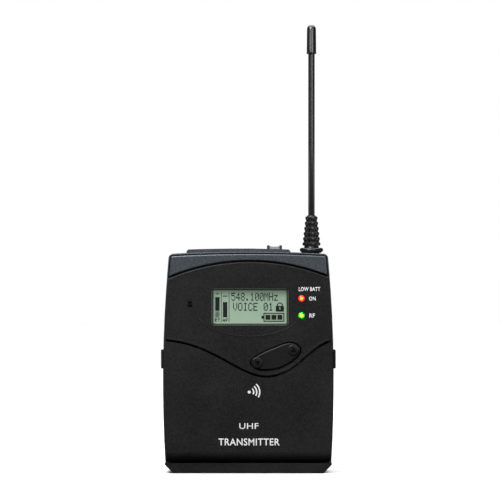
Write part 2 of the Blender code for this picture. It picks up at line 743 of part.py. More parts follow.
# ---------------------------------------------------------------- battery compartment
CELL_Y = BACK - WALL - 0.5 * MM - TRAY_WALL - CELL_SPACE - CELL_RADIUS
CELL_LOW_Z = TRAY_BOTTOM + TRAY_WALL + CELL_SPACE + CELL_RADIUS
CELL_HIGH_Z = CELL_LOW_Z + 2 * CELL_RADIUS + CELL_SPACE
TRAY_TOP = CELL_HIGH_Z + CELL_RADIUS + CELL_SPACE + TRAY_WALL
TRAY_INNER_HALF = (CELL_LENGTH + CELL_NUB_LENGTH + SPRING_SPACE + NUB_SPACE) / 2
TRAY_HALF = TRAY_INNER_HALF + TRAY_WALL
TRAY_FRONT_Y = CELL_Y - CELL_RADIUS + 1.4 * MM
TRAY_BACK_Y = CELL_Y + CELL_RADIUS + CELL_SPACE + TRAY_WALL


def make_battery_tray():
    tray = box(
        "battery_tray",
        (-TRAY_HALF, TRAY_HALF),
        (TRAY_FRONT_Y, TRAY_BACK_Y),
        (TRAY_BOTTOM, TRAY_TOP),
    )
    inside = box(
        "tray_hollow",
        (-TRAY_INNER_HALF, TRAY_INNER_HALF),
        (TRAY_FRONT_Y - 1.0 * MM, TRAY_BACK_Y - TRAY_WALL),
        (TRAY_BOTTOM + TRAY_WALL, TRAY_TOP - TRAY_WALL),
    )
    cut(tray, inside)
    for side in (-1, 1):
        outer = side * TRAY_HALF
        inner = side * (TRAY_HALF - EAR_WIDTH)
        across = sorted((inner, outer))
        reach = (HINGE_Y, TRAY_FRONT_Y + 0.5 * MM)
        arm = box(f"ear_arm_{side}", across, reach, (HINGE_Z, HINGE_Z + EAR_RADIUS))
        ear = rod(f"ear_{side}", (inner, HINGE_Y, HINGE_Z), (outer, HINGE_Y, HINGE_Z), EAR_RADIUS)
        bore_start = (side * (TRAY_HALF - 2 * EAR_WIDTH), HINGE_Y, HINGE_Z)
        bore_end = (side * (TRAY_HALF + EAR_WIDTH), HINGE_Y, HINGE_Z)
        bore = rod(f"ear_bore_{side}", bore_start, bore_end, PIN_RADIUS + PIN_CLEARANCE)
        join(tray, arm, ear)
        cut(tray, bore)
    paint(tray, FRAME)
    for side, name in ((-1, "left"), (1, "right")):
        start = (side * (TRAY_HALF - EAR_WIDTH), HINGE_Y, HINGE_Z)
        end = (side * (half_width(HINGE_Z, FRONT_INSET) - 0.2 * MM), HINGE_Y, HINGE_Z)
        paint(rod(f"{name}_hinge_pin", start, end, PIN_RADIUS), STEEL)


def make_cell(name, z, nub_side):
    """A round cell lying along X with its nub towards nub_side."""
    start = -TRAY_INNER_HALF + SPRING_SPACE
    profile = [
        (0.0, start + CELL_LENGTH + CELL_NUB_LENGTH),
        (CELL_NUB_RADIUS, start + CELL_LENGTH + CELL_NUB_LENGTH),
        (CELL_NUB_RADIUS, start + CELL_LENGTH),
        (CELL_RADIUS - 0.6 * MM, start + CELL_LENGTH),
        (CELL_RADIUS, start + CELL_LENGTH - 0.6 * MM),
        (CELL_RADIUS, start + 0.4 * MM),
        (CELL_RADIUS - 0.4 * MM, start),
        (0.0, start),
    ]
    cell = turned(name, profile, (0.0, 0.0, 0.0))
    turn = Matrix.Rotation(math.radians(90 * nub_side), 4, "Y")
    cell.matrix_world = Matrix.Translation((0.0, CELL_Y, z)) @ turn
    paint(cell, WRAP)


def make_contacts():
    half = CONTACT_WIDTH / 2
    left_x = -TRAY_INNER_HALF + GAP
    bridge = box(
        "contact_bridge",
        (left_x, left_x + CONTACT_THICK),
        (CELL_Y - half, CELL_Y + half),
        (CELL_LOW_Z - half, CELL_HIGH_Z + half),
    )
    paint(bridge, STEEL)
    right_x = TRAY_INNER_HALF - GAP
    coil_length = SPRING_SPACE - GAP - CONTACT_THICK - 2 * GAP - 2 * SPRING_WIRE
    for name, z, side in (("upper", CELL_HIGH_Z, -1), ("lower", CELL_LOW_Z, 1)):
        tab = box(
            f"contact_tab_{name}",
            (right_x - CONTACT_THICK, right_x),
            (CELL_Y - half, CELL_Y + half),
            (z - half, z + half),
        )
        paint(tab, STEEL)
        start_x = side * (TRAY_INNER_HALF - GAP - CONTACT_THICK - GAP - SPRING_WIRE)
        coil = helix((start_x, CELL_Y, z), -side, coil_length, 2.5, 4.2 * MM, 2.2 * MM, 12)
        paint(wire(f"contact_spring_{name}", coil, SPRING_WIRE, 0), STEEL)


# ---------------------------------------------------------------- inner frame, board and keys
FRAME_BACK_Y = FRAME_FRONT_Y + FRAME_THICK
FRAME_LOW_Z = TRAY_TOP + 0.4 * MM
FRAME_HIGH_Z = HEIGHT - 6.6 * MM
TILT = math.radians(ROCKER_TILT)
ROCKER_ALONG = Vector((math.cos(TILT), 0.0, math.sin(TILT)))
ROCKER_AXIS = Vector((-math.sin(TILT), 0.0, math.cos(TILT)))
ROCKER_PIVOT = Vector((ROCKER_CENTRE[0], ROCKER_PIN_Y, ROCKER_CENTRE[1]))


def tilted_box(name, centre, along, depth, across):
    """A box turned with the rocker: sizes along the key, front to back and across it."""
    piece = box(name, (-along / 2, along / 2), (-depth / 2, depth / 2), (-across / 2, across / 2))
    piece.matrix_world = Matrix.Translation(centre) @ Matrix.Rotation(-TILT, 4, "Y")
    return piece


def make_inner_frame():
    frame = box(
        "inner_frame",
        (-FRAME_HALF, FRAME_HALF),
        (FRAME_FRONT_Y, FRAME_BACK_Y),
        (FRAME_LOW_Z, FRAME_HIGH_Z),
    )
    glass = [side + 2 * GLASS_MARGIN + 2 * GAP for side in WINDOW_SIZE]
    low_y, high_y = FRAME_FRONT_Y - 1.0 * MM, FRAME_BACK_Y + 1.0 * MM
    cut(frame, plate("glass_way", rounded((DISPLAY_X, DISPLAY_Z), glass, 0.6 * MM, 2), low_y, high_y))
    for side in (-1, 1):
        z = DISPLAY_Z + side * LIGHT_RISE
        cut(frame, lens_hole(z, LENS_RADIUS + 2 * BUTTON_SPACE, low_y, high_y, f"light_way_{side}"))
        offset = ROCKER_HUB_LENGTH / 2 + GAP + LUG_WIDTH / 2
        middle = ROCKER_PIVOT + ROCKER_AXIS * offset * side
        lug_depth = 2 * (FRAME_FRONT_Y - ROCKER_PIN_Y) + 1.4 * MM
        middle.y = FRAME_BACK_Y - 0.1 * MM - lug_depth / 2
        join(frame, tilted_box(f"rocker_lug_{side}", middle, 2.4 * MM, lug_depth, LUG_WIDTH))
        spot = ROCKER_PIVOT + ROCKER_ALONG * ROCKER_NUB_REACH * side
        start, end = (spot.x, low_y, spot.z), (spot.x, high_y, spot.z)
        cut(frame, rod(f"plunger_way_{side}", start, end, 1.3 * MM))
    hub_slot_wide = 2 * (ROCKER_HUB_RADIUS + ROCKER_SPACE)
    hub_slot_long = ROCKER_HUB_LENGTH + GAP
    centre = Vector((ROCKER_PIVOT.x, FRAME_BACK_Y, ROCKER_PIVOT.z))
    cut(frame, tilted_box("hub_slot", centre, hub_slot_wide, 8.0 * MM, hub_slot_long))
    pin_half = ROCKER_HUB_LENGTH / 2 + GAP + LUG_WIDTH + 1.0 * MM
    ends = ROCKER_PIVOT - ROCKER_AXIS * pin_half, ROCKER_PIVOT + ROCKER_AXIS * pin_half
    cut(frame, rod("rocker_pin_way", *ends, ROCKER_PIN_RADIUS + 0.1 * MM, sides=16))
    for name, (x, z) in BUTTONS.items():
        cut(frame, rod(f"{name}_way", (x, low_y, z), (x, high_y, z), BUTTON_RADIUS + BUTTON_SPACE))
    for number, (x, z) in enumerate(POSTS, 1):
        post_end = BACK - WALL - GAP
        foot = (x, FRAME_BACK_Y - 0.3 * MM, z)
        join(frame, rod(f"post_{number}", foot, (x, post_end, z), POST_RADIUS, sides=16))
        cut(frame, rod(f"post_bore_{number}", (x, BOARD_FRONT_Y, z), (x, BACK, z), SCREW_HOLE, sides=16))
    paint(frame, FRAME)


def make_rocker():
    back_y = ROCKER_FRONT_Y + ROCKER_THICK
    rocker = plate("rocker_key", rocker_outline(), ROCKER_FRONT_Y, back_y)
    half = ROCKER_HUB_LENGTH / 2
    hub_ends = ROCKER_PIVOT - ROCKER_AXIS * half, ROCKER_PIVOT + ROCKER_AXIS * half
    join(rocker, rod("rocker_hub", *hub_ends, ROCKER_HUB_RADIUS, sides=20))
    web = Vector((ROCKER_PIVOT.x, (back_y - 0.3 * MM + ROCKER_PIN_Y) / 2, ROCKER_PIVOT.z))
    web_depth = ROCKER_PIN_Y - back_y + 0.3 * MM
    join(rocker, tilted_box("rocker_web", web, 1.6 * MM, web_depth, ROCKER_HUB_LENGTH))
    for side in (-1, 1):
        spot = ROCKER_PIVOT + ROCKER_ALONG * ROCKER_NUB_REACH * side
        start, end = (spot.x, back_y - 0.5 * MM, spot.z), (spot.x, back_y + 0.6 * MM, spot.z)
        join(rocker, rod(f"rocker_nub_{side}", start, end, 0.9 * MM, sides=12))
    longer = ROCKER_AXIS * (half + 1.0 * MM)
    bore_ends = ROCKER_PIVOT - longer, ROCKER_PIVOT + longer
    cut(rocker, rod("rocker_bore", *bore_ends, ROCKER_PIN_RADIUS + PIN_CLEARANCE, sides=16))
    paint(rocker, KEY)
    hang(ROCKER_PIVOT, rocker)
    reach = ROCKER_AXIS * (half + GAP + LUG_WIDTH)
    paint(rod("rocker_pin", ROCKER_PIVOT - reach, ROCKER_PIVOT + reach, ROCKER_PIN_RADIUS, sides=16), STEEL)
    for side, name in ((-1, "down"), (1, "up")):
        spot = ROCKER_PIVOT + ROCKER_ALONG * ROCKER_NUB_REACH * side
        body_front = FRAME_BACK_Y + GAP
        make_switch(f"{name}_switch", spot.x, spot.z, body_front, back_y + 1.2 * MM)


def make_switch(name, x, z, body_front, plunger_front):
    half = 2.0 * MM
    back = BOARD_FRONT_Y - GAP
    body = box(name, (x - half, x + half), (body_front, back), (z - half, z + half))
    start, end = (x, plunger_front, z), (x, body_front + 0.2 * MM, z)
    join(body, rod(f"{name}_plunger", start, end, 0.9 * MM, sides=16))
    paint(body, STEEL)


def make_buttons():
    top_y = FRONT + WALL + 0.5 * MM
    flange_front = FRAME_BACK_Y + GAP
    flange_back = flange_front + 0.4 * MM
    for name, (x, z) in BUTTONS.items():
        button = rod(f"{name}_button", (x, top_y, z), (x, flange_back, z), BUTTON_RADIUS)
        radius = BUTTON_RADIUS + BUTTON_FLANGE
        flange = rod(f"{name}_button_flange", (x, flange_front, z), (x, flange_back, z), radius)
        paint(join(button, flange), KEY)
        hang((x, top_y, z), button)
        make_switch(f"{name}_switch", x, z, BOARD_FRONT_Y - GAP - 0.5 * MM, flange_back + 0.7 * MM)


def make_board():
    narrow = FRAME_HALF - 6.0 * MM
    wide = FRAME_HALF - 2.0 * MM
    low, high = FRAME_LOW_Z + 0.5 * MM, HEIGHT - 5.0 * MM
    notch_low, notch_high = POSTS[0][1] + POST_RADIUS + 1.0 * MM, POSTS[2][1] - POST_RADIUS - 1.0 * MM
    right = [(narrow, low), (narrow, notch_low), (wide, notch_low)]
    right += [(wide, notch_high), (narrow, notch_high), (narrow, high)]
    outline = right + [(-x, z) for x, z in reversed(right)]
    paint(plate("main_board", outline, BOARD_FRONT_Y, BOARD_FRONT_Y + BOARD_THICK), BOARD)
    can_front = BOARD_FRONT_Y + BOARD_THICK + GAP
    can = box(
        "shield_can",
        (-16.0 * MM, 12.0 * MM),
        (can_front, can_front + 2.7 * MM),
        (low + 7.0 * MM, DISPLAY_Z + 1.0 * MM),
    )
    paint(can, STEEL)


def make_display():
    window_y = FRONT + OVAL_DEPTH + 0.1 * MM
    window = rounded((DISPLAY_X, DISPLAY_Z), WINDOW_SIZE, 0.7 * MM)
    paint(plate("display_window", window, window_y, window_y + WINDOW_THICK), CLEAR)
    glass_y = window_y + WINDOW_THICK + GAP
    half_x = WINDOW_SIZE[0] / 2 + GLASS_MARGIN
    half_z = WINDOW_SIZE[1] / 2 + GLASS_MARGIN
    across = (DISPLAY_X - half_x, DISPLAY_X + half_x)
    upright = (DISPLAY_Z - half_z, DISPLAY_Z + half_z)
    paint(box("display_glass", across, (glass_y, glass_y + GLASS_THICK), upright), GLASS)
    holder_back = BOARD_FRONT_Y - GAP
    paint(box("display_holder", across, (holder_back - HOLDER_THICK, holder_back), upright), FRAME)
    for name, side, material in (("red", 1, RED), ("green", -1, GREEN)):
        z = DISPLAY_Z + side * LIGHT_RISE
        tip = FRONT - 0.25 * MM
        shoulder = FRONT + 0.15 * MM
        middle = (LIGHT_X, shoulder, z)
        lens = rod(f"{name}_light_lens", middle, (LIGHT_X, FRAME_BACK_Y + GAP, z), LENS_RADIUS)
        under = (LIGHT_X, shoulder + 0.1 * MM, z)
        crown = rod(f"{name}_lens_crown", under, (LIGHT_X, tip, z), LENS_RADIUS, 0.6 * MM)
        paint(join(lens, crown), material)
        half = 0.8 * MM
        chip_y = (BOARD_FRONT_Y - GAP - 1.0 * MM, BOARD_FRONT_Y - GAP)
        chip = box(f"{name}_light_chip", (LIGHT_X - half, LIGHT_X + half), chip_y, (z - half, z + half))
        paint(chip, CLEAR)
    infrared = rounded(INFRARED_PLACE, INFRARED_SIZE, 0.4 * MM, 2)
    paint(plate("infrared_window", infrared, FRONT - 0.05 * MM, FRAME_FRONT_Y - GAP), DARK_LENS)


# ---------------------------------------------------------------- top pieces
PLATE_MIDDLE = (PLATE_LEFT + PLATE_RIGHT) / 2
PLATE_LOW_Z = HEIGHT - PLATE_THICK + 1.5 * MM


def plate_top(x):
    """Height of the raised plate: the lid's crown carried up, slightly rounder at the ends."""
    share = (x - PLATE_MIDDLE) / (PLATE_RIGHT - PLATE_MIDDLE)
    return lid_top(PLATE_MIDDLE) + PLATE_RISE - 0.35 * MM * share**2


def make_connector_plate():
    corner = 0.6 * MM
    top = [(x, plate_top(x)) for x in spread(PLATE_RIGHT - corner, PLATE_LEFT + corner, 12)]
    outline = [(PLATE_LEFT, PLATE_LOW_Z), (PLATE_RIGHT, PLATE_LOW_Z)]
    outline.append((PLATE_RIGHT, plate_top(PLATE_RIGHT) - corner))
    outline += top
    outline += [(PLATE_LEFT, plate_top(PLATE_LEFT) - corner)]
    low_y, high_y = JACK_Y - PLATE_HALF_DEPTH, JACK_Y + PLATE_HALF_DEPTH
    top_plate = plate("connector_plate", outline, low_y, high_y)
    above = HEIGHT + 6.0 * MM
    below = PLATE_LOW_Z - 1.0 * MM
    seat_z = plate_top(JACK_X) - 0.1 * MM - COLLAR_HEIGHT - GAP
    seat = (JACK_X, JACK_Y, seat_z)
    well = rod("collar_well", seat, (JACK_X, JACK_Y, above), COLLAR_RADIUS + GAP, sides=32)
    bore = rod("tube_way", (JACK_X, JACK_Y, below), (JACK_X, JACK_Y, above), JACK_TUBE + BUTTON_SPACE)
    cut(top_plate, well, bore)
    half_x, half_y = SLIDER_SIZE[0] / 2, SLIDER_SIZE[1] / 2
    trough = box(
        "slider_trough",
        (SLIDER_X - half_x - SLIDER_TRAVEL - GAP, SLIDER_X + half_x + GAP),
        (JACK_Y - half_y - GAP, JACK_Y + half_y + GAP),
        (plate_top(SLIDER_X) - TROUGH_DEPTH, above),
    )
    stem_x, stem_y = SLIDER_STEM[0] / 2, SLIDER_STEM[1] / 2
    slot = box(
        "stem_slot",
        (SLIDER_X - stem_x - SLIDER_TRAVEL - GAP, SLIDER_X + stem_x + GAP),
        (JACK_Y - stem_y - GAP, JACK_Y + stem_y + GAP),
        (below, above),
    )
    cut(top_plate, trough, slot)
    paint(top_plate, SLATE)
    return seat_z


def make_slider():
    top_z = plate_top(SLIDER_X) + SLIDER_PROUD
    low_z = plate_top(SLIDER_X) - TROUGH_DEPTH + GAP
    half_x, half_y = SLIDER_SIZE[0] / 2, SLIDER_SIZE[1] / 2
    knob = plate("mute_slider", slider_profile(low_z, top_z, half_x), JACK_Y - half_y, JACK_Y + half_y)
    switch_top = PLATE_LOW_Z - GAP
    stem_x, stem_y = SLIDER_STEM[0] / 2, SLIDER_STEM[1] / 2
    stem = box(
        "slider_stem",
        (SLIDER_X - stem_x, SLIDER_X + stem_x),
        (JACK_Y - stem_y, JACK_Y + stem_y),
        (switch_top + GAP, low_z + 0.3 * MM),
    )
    paint(join(knob, stem), SLATE)
    hang((SLIDER_X, JACK_Y, low_z), knob)
    body = box(
        "mute_switch",
        (SLIDER_X - half_x - SLIDER_TRAVEL, SLIDER_X + half_x),
        (JACK_Y - 3.0 * MM, JACK_Y + 3.0 * MM),
        (switch_top - 5.0 * MM, switch_top),
    )
    paint(body, STEEL)


def slider_profile(low_z, top_z, half_x):
    """A knob with a finger hollow between two raised ends."""
    dip = 0.5 * MM
    outline = [(SLIDER_X - half_x, low_z), (SLIDER_X + half_x, low_z)]
    outline += [(SLIDER_X + half_x, top_z - 0.3 * MM)]
    for share in spread(1.0, -1.0, 9):
        x = SLIDER_X + share * (half_x - 0.3 * MM)
        outline.append((x, top_z - dip * (1 - share**2)))
    outline += [(SLIDER_X - half_x, top_z - 0.3 * MM)]
    return outline


def make_jack(seat_z):
    tube_top = seat_z + COLLAR_HEIGHT - 0.2 * MM
    body_top = PLATE_LOW_Z - GAP
    body_low = body_top - 11.0 * MM
    bore_low = body_low + 1.0 * MM
    profile = [
        (JACK_BORE, tube_top),
        (JACK_TUBE, tube_top),
        (JACK_TUBE, body_top),
        (JACK_BODY, body_top),
        (JACK_BODY, body_low),
        (0.0, body_low),
    ]
    inner = [(0.0, bore_low), (JACK_BORE, bore_low)]
    jack = turned("audio_jack", inner + profile, (JACK_X, JACK_Y, 0.0), steps=28)
    paint(jack, FRAME)
    low = seat_z + GAP
    ring = [
        (JACK_TUBE + BUTTON_SPACE, low + COLLAR_HEIGHT),
        (COLLAR_RADIUS - 0.2 * MM, low + COLLAR_HEIGHT),
        (COLLAR_RADIUS, low + COLLAR_HEIGHT - 0.2 * MM),
        (COLLAR_RADIUS, low),
        (JACK_TUBE + BUTTON_SPACE, low),
    ]
    paint(turned("jack_collar", ring, (JACK_X, JACK_Y, 0.0), steps=36, ring=True), STEEL)


def make_antenna():
    origin = (ANTENNA_X, ANTENNA_Y, 0.0)
    flange_low = lid_top(ANTENNA_X) + GAP
    flange_high = flange_low + FLANGE_HEIGHT
    soft = 0.5 * MM
    base = [
        (0.0, flange_high),
        (FLANGE_RADIUS - soft, flange_high),
        (FLANGE_RADIUS, flange_high - soft),
        (FLANGE_RADIUS, flange_low + soft),
        (FLANGE_RADIUS - soft, flange_low),
        (NECK_RADIUS, flange_low),
        (NECK_RADIUS, HEIGHT - 5.0 * MM),
        (0.0, HEIGHT - 5.0 * MM),
    ]
    paint(turned("antenna_base", base, origin), RUBBER)
    boot_low = flange_high + GAP
    boot_top = boot_low + BOOT_RIBS * RIB_PITCH
    bore = ROD_RADIUS + GAP
    rod_low = boot_top - 3 * RIB_PITCH
    profile = [(0.0, rod_low - GAP), (bore, rod_low - GAP), (bore, boot_top)]
    half = RIB_PITCH / 2
    for i in range(BOOT_RIBS):
        share = i / (BOOT_RIBS - 1)
        radius = RIB_TOP_RADIUS + (RIB_LOW_RADIUS - RIB_TOP_RADIUS) * share
        top = boot_top - i * RIB_PITCH
        profile += [
            (radius - RIB_GROOVE, top),
            (radius, top - 0.3 * half),
            (radius, top - 1.3 * half),
            (radius - RIB_GROOVE, top - 1.6 * half),
        ]
    profile.append((RIB_LOW_RADIUS - RIB_GROOVE, boot_low))
    profile.append((0.0, boot_low))
    paint(turned("antenna_boot", profile, origin, steps=20), RUBBER)
    top = (ANTENNA_X, ANTENNA_Y, ROD_TOP_Z)
    whip = rod("antenna_rod", (ANTENNA_X, ANTENNA_Y, rod_low), top, ROD_RADIUS, sides=20)
    paint(whip, RUBBER)
    tip_low = ROD_TOP_Z + GAP
    tip_high = tip_low + TIP_LENGTH
    cap = [(0.0, tip_high)]
    for degrees in (30, 60, 90):
        turn = math.radians(degrees)
        cap.append((TIP_RADIUS * math.sin(turn), tip_high - TIP_RADIUS * (1 - math.cos(turn)) * 0.6))
    cap += [(TIP_RADIUS + 0.08 * MM, tip_low + 0.3 * MM), (TIP_RADIUS - 0.2 * MM, tip_low), (0.0, tip_low)]
    tip = paint(turned("antenna_tip", cap, origin, steps=20), RUBBER)
    hang((ANTENNA_X, ANTENNA_Y, boot_low + BOOT_RIBS * RIB_PITCH / 2), whip, tip)


# ---------------------------------------------------------------- back pieces
def clip_route():
    """One side of the wire, from its end in the lug down to the middle of the loop."""
    hinge_y = CLIP_PIVOT.y
    run_y = BACK + CLIP_BELT_SPACE + CLIP_WIRE
    end_x = LUG_OUTER - 1.4 * MM
    route = [(end_x, hinge_y, CLIP_PIVOT_Z), (CLIP_HALF + CLIP_CORNER, hinge_y, CLIP_PIVOT_Z)]
    for degrees in (30, 60, 90):
        turn = math.radians(degrees)
        x = CLIP_HALF + CLIP_CORNER * (1 - math.sin(turn))
        z = CLIP_PIVOT_Z - CLIP_CORNER * (1 - math.cos(turn))
        route.append((x, hinge_y + 0.4 * MM * degrees / 90, z))
    route.append((CLIP_HALF, run_y - 0.3 * MM, CLIP_PIVOT_Z - 7.0 * MM))
    route.append((CLIP_HALF, run_y, CLIP_PIVOT_Z - 10.0 * MM))
    route.append((CLIP_HALF, run_y, CLIP_LOW_Z + 14.0 * MM))
    route.append((CLIP_HALF, run_y - 1.2 * MM, CLIP_LOW_Z + 10.0 * MM))
    radius = 5.0 * MM
    for degrees in (0, 30, 60, 90):
        turn = math.radians(degrees)
        x = CLIP_HALF - radius * (1 - math.cos(turn))
        z = CLIP_LOW_Z + radius * (1 - math.sin(turn))
        route.append((x, run_y - 1.2 * MM + 1.6 * MM * math.sin(turn), z))
    return route


def make_belt_clip():
    right = clip_route()
    left = [(-x, y, z) for x, y, z in reversed(right)]
    clip = paint(wire("belt_clip", right + left, CLIP_WIRE, 2), DARK_STEEL)
    hang(CLIP_PIVOT, clip)


def make_screws():
    for number, (x, z) in enumerate(POSTS, 1):
        face = BACK - 0.1 * MM
        under = BACK - SCREW_HEAD_DEPTH
        head = rod(f"case_screw_{number}", (x, under, z), (x, face, z), SCREW_HEAD)
        tip = (x, BACK - 9.0 * MM, z)
        shank = rod(f"screw_shank_{number}", tip, (x, under + 0.2 * MM, z), SCREW_SHANK, sides=16)
        bottom = face - 0.5 * MM
        long, wide = 1.1 * MM, 0.25 * MM
        slot_a = box(f"cross_a_{number}", (x - long, x + long), (bottom, BACK + WALL), (z - wide, z + wide))
        slot_b = box(f"cross_b_{number}", (x - wide, x + wide), (bottom, BACK + WALL), (z - long, z + long))
        join(head, shank)
        cut(head, slot_a, slot_b)
        paint(head, DARK_STEEL)
    for side, number in ((-1, 1), (1, 2)):
        x = side * CHARGE_X
        inside = (x, BACK - WALL - 0.2 * MM, CHARGE_Z)
        paint(rod(f"charge_contact_{number}", inside, (x, BACK - 0.1 * MM, CHARGE_Z), CHARGE_RADIUS), GOLD)


make_rear_shell()
make_lid()
make_front_panel()
make_catches(make_cover())
make_battery_tray()
make_cell("battery_upper", CELL_HIGH_Z, 1)
make_cell("battery_lower", CELL_LOW_Z, -1)
make_contacts()
make_inner_frame()
make_rocker()
make_buttons()
make_board()
make_display()
make_jack(make_connector_plate())
make_slider()
make_antenna()
make_belt_clip()
make_screws()
bpy.context.view_layer.update()
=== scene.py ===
# %% [markdown]
# # A wireless bodypack transmitter
#
# The object is a small belt-worn radio transmitter: a slate-grey metal shell and lid, a black
# moulded front with a display, a hinged battery cover, a whip antenna and a wire belt clip.
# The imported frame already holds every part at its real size. This lesson gives each visible part
# its rounded edges, small details and finish, in metres, in the frame's own axes:
# X to the right as seen from the front, the front facing -Y, and Z up.

# %% Load the frame
import json
import math

import bmesh
import bpy
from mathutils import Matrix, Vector
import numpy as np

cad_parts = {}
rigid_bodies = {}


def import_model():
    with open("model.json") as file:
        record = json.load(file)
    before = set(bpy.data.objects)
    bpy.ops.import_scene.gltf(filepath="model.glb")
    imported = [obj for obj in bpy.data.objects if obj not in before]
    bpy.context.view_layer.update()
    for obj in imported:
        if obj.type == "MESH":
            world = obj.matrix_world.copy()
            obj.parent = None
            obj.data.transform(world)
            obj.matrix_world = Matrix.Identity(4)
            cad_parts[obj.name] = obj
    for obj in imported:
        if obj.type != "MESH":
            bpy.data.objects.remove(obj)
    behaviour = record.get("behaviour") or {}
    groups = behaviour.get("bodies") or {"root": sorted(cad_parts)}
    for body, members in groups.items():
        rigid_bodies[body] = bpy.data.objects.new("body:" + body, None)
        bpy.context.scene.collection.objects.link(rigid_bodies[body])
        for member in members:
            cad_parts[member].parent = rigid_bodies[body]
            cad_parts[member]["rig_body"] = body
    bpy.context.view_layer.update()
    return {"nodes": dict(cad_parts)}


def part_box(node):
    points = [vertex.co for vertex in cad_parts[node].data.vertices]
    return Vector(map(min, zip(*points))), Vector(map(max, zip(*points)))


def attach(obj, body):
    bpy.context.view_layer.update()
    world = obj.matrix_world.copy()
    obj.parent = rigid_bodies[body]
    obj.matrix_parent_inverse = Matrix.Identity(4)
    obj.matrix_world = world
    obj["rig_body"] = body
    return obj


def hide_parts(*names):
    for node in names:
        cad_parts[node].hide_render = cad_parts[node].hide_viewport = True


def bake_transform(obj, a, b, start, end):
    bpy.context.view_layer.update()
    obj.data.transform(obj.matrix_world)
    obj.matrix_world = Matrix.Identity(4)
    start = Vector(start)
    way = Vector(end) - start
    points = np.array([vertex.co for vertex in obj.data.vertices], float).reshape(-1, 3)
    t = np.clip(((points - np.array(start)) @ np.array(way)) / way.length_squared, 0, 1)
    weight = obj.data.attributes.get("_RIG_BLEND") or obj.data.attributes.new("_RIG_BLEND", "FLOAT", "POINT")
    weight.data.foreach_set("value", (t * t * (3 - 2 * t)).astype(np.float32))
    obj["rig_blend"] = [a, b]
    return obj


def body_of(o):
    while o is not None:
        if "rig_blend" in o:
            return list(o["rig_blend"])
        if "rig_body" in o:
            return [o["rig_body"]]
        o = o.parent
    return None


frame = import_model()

MM = 0.001


def middle_of(node):
    low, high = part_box(node)
    return (low + high) / 2


BACK_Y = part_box("charge_contact_1")[1].y + 0.1 * MM
FRONT_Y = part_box("battery_cover")[0].y
print("front at", round(FRONT_Y / MM, 2), "back at", round(BACK_Y / MM, 2))

# %% [markdown]
# ## The stage
#
# A product picture of this kind is taken from straight in front with a long lens, so the sides
# stay nearly parallel. The camera stands 1.5 m away and looks at a point halfway up the whole
# object, antenna included. A pale floor and large soft lights give black plastic its shape:
# what shows on it is mostly the reflection of something bright on its rounded edges.

# %% Camera
VIEW_WIDTH = 182.35 * MM
VIEW_DISTANCE = 1.5
AIM = Vector((0.6 * MM, FRONT_Y, 81.5 * MM))

camera_data = bpy.data.cameras.new("camera")
camera_data.sensor_width = 36.0
camera_data.lens = camera_data.sensor_width * VIEW_DISTANCE / VIEW_WIDTH
camera_data.clip_start = 0.05
camera = bpy.data.objects.new("camera", camera_data)
camera.location = AIM - Vector((0, VIEW_DISTANCE, 0))
camera.rotation_euler = (math.radians(90), 0, 0)
bpy.context.scene.collection.objects.link(camera)
bpy.context.scene.camera = camera
bpy.context.scene.view_settings.view_transform = "Standard"
print("lens", round(camera_data.lens), "mm")


# %% Lights
def soft_light(name, place, aim, size, watts, height=None, glints=True):
    """A rectangular softbox at place, pointing at aim."""
    data = bpy.data.lights.new(name, "AREA")
    data.shape = "RECTANGLE"
    data.size = size
    data.size_y = height or size
    data.energy = watts
    light = bpy.data.objects.new(name, data)
    light.location = place
    light.rotation_euler = (Vector(aim) - Vector(place)).to_track_quat("-Z", "Y").to_euler()
    light.visible_camera = False
    light.visible_glossy = glints
    bpy.context.scene.collection.objects.link(light)


soft_light("key", (-0.16, -0.34, 0.42), (0, 0, 0.06), 0.26, 2.8)
soft_light("fill", (0.35, -0.8, 0.3), (0, 0, 0.05), 0.4, 2.1)
soft_light("left_edge", (-0.7, -0.02, 0.0), (0, 0, 0.03), 0.55, 0.5, 0.16)
soft_light("right_edge", (0.7, -0.02, 0.0), (0, 0, 0.03), 0.55, 0.5, 0.16)
soft_light("rear_fill", (0.5, 0.9, 0.5), (0, 0, 0.05), 0.5, 7.0, glints=False)

overhead_data = bpy.data.lights.new("overhead", "SUN")
overhead_data.energy = 3.6
overhead_data.angle = math.radians(80)
overhead = bpy.data.objects.new("overhead", overhead_data)
overhead.rotation_euler = (math.radians(-8), 0, 0)
bpy.context.scene.collection.objects.link(overhead)
print(len(bpy.data.lights), "lights")

# %% [markdown]
# The room itself is white behind the object, and dim as a source of light, so that black plastic
# stays black. A World shader can tell a ray from the camera from a ray that lights something.
# The dim room is brighter above than below, which darkens whatever rounds off underneath, and
# brightest behind the camera, which gives round parts such as the antenna a grey middle between
# dark sides.

# %% World
world = bpy.data.worlds.new("pale_studio")
bpy.context.scene.world = world
world.use_nodes = True
room = world.node_tree
dim = room.nodes["Background"]
bright = room.nodes.new("ShaderNodeBackground")
bright.inputs["Color"].default_value = (1.0, 1.0, 1.0, 1.0)
rays = room.nodes.new("ShaderNodeLightPath")
choose = room.nodes.new("ShaderNodeMixShader")
room.links.new(rays.outputs["Is Camera Ray"], choose.inputs[0])
room.links.new(dim.outputs[0], choose.inputs[1])
room.links.new(bright.outputs[0], choose.inputs[2])
room.links.new(choose.outputs[0], room.nodes["World Output"].inputs["Surface"])
heading = room.nodes.new("ShaderNodeTexCoord")
split = room.nodes.new("ShaderNodeSeparateXYZ")
room.links.new(heading.outputs["Generated"], split.inputs[0])
product = room.nodes.new("ShaderNodeMath")
product.operation = "MULTIPLY"
FALLOFF = [
    # axis, from, to, strength at from, strength at to
    ("Z", -0.7, 0.8, 0.03, 0.32),
    ("Y", -1.0, -0.25, 3.6, 0.25),
]
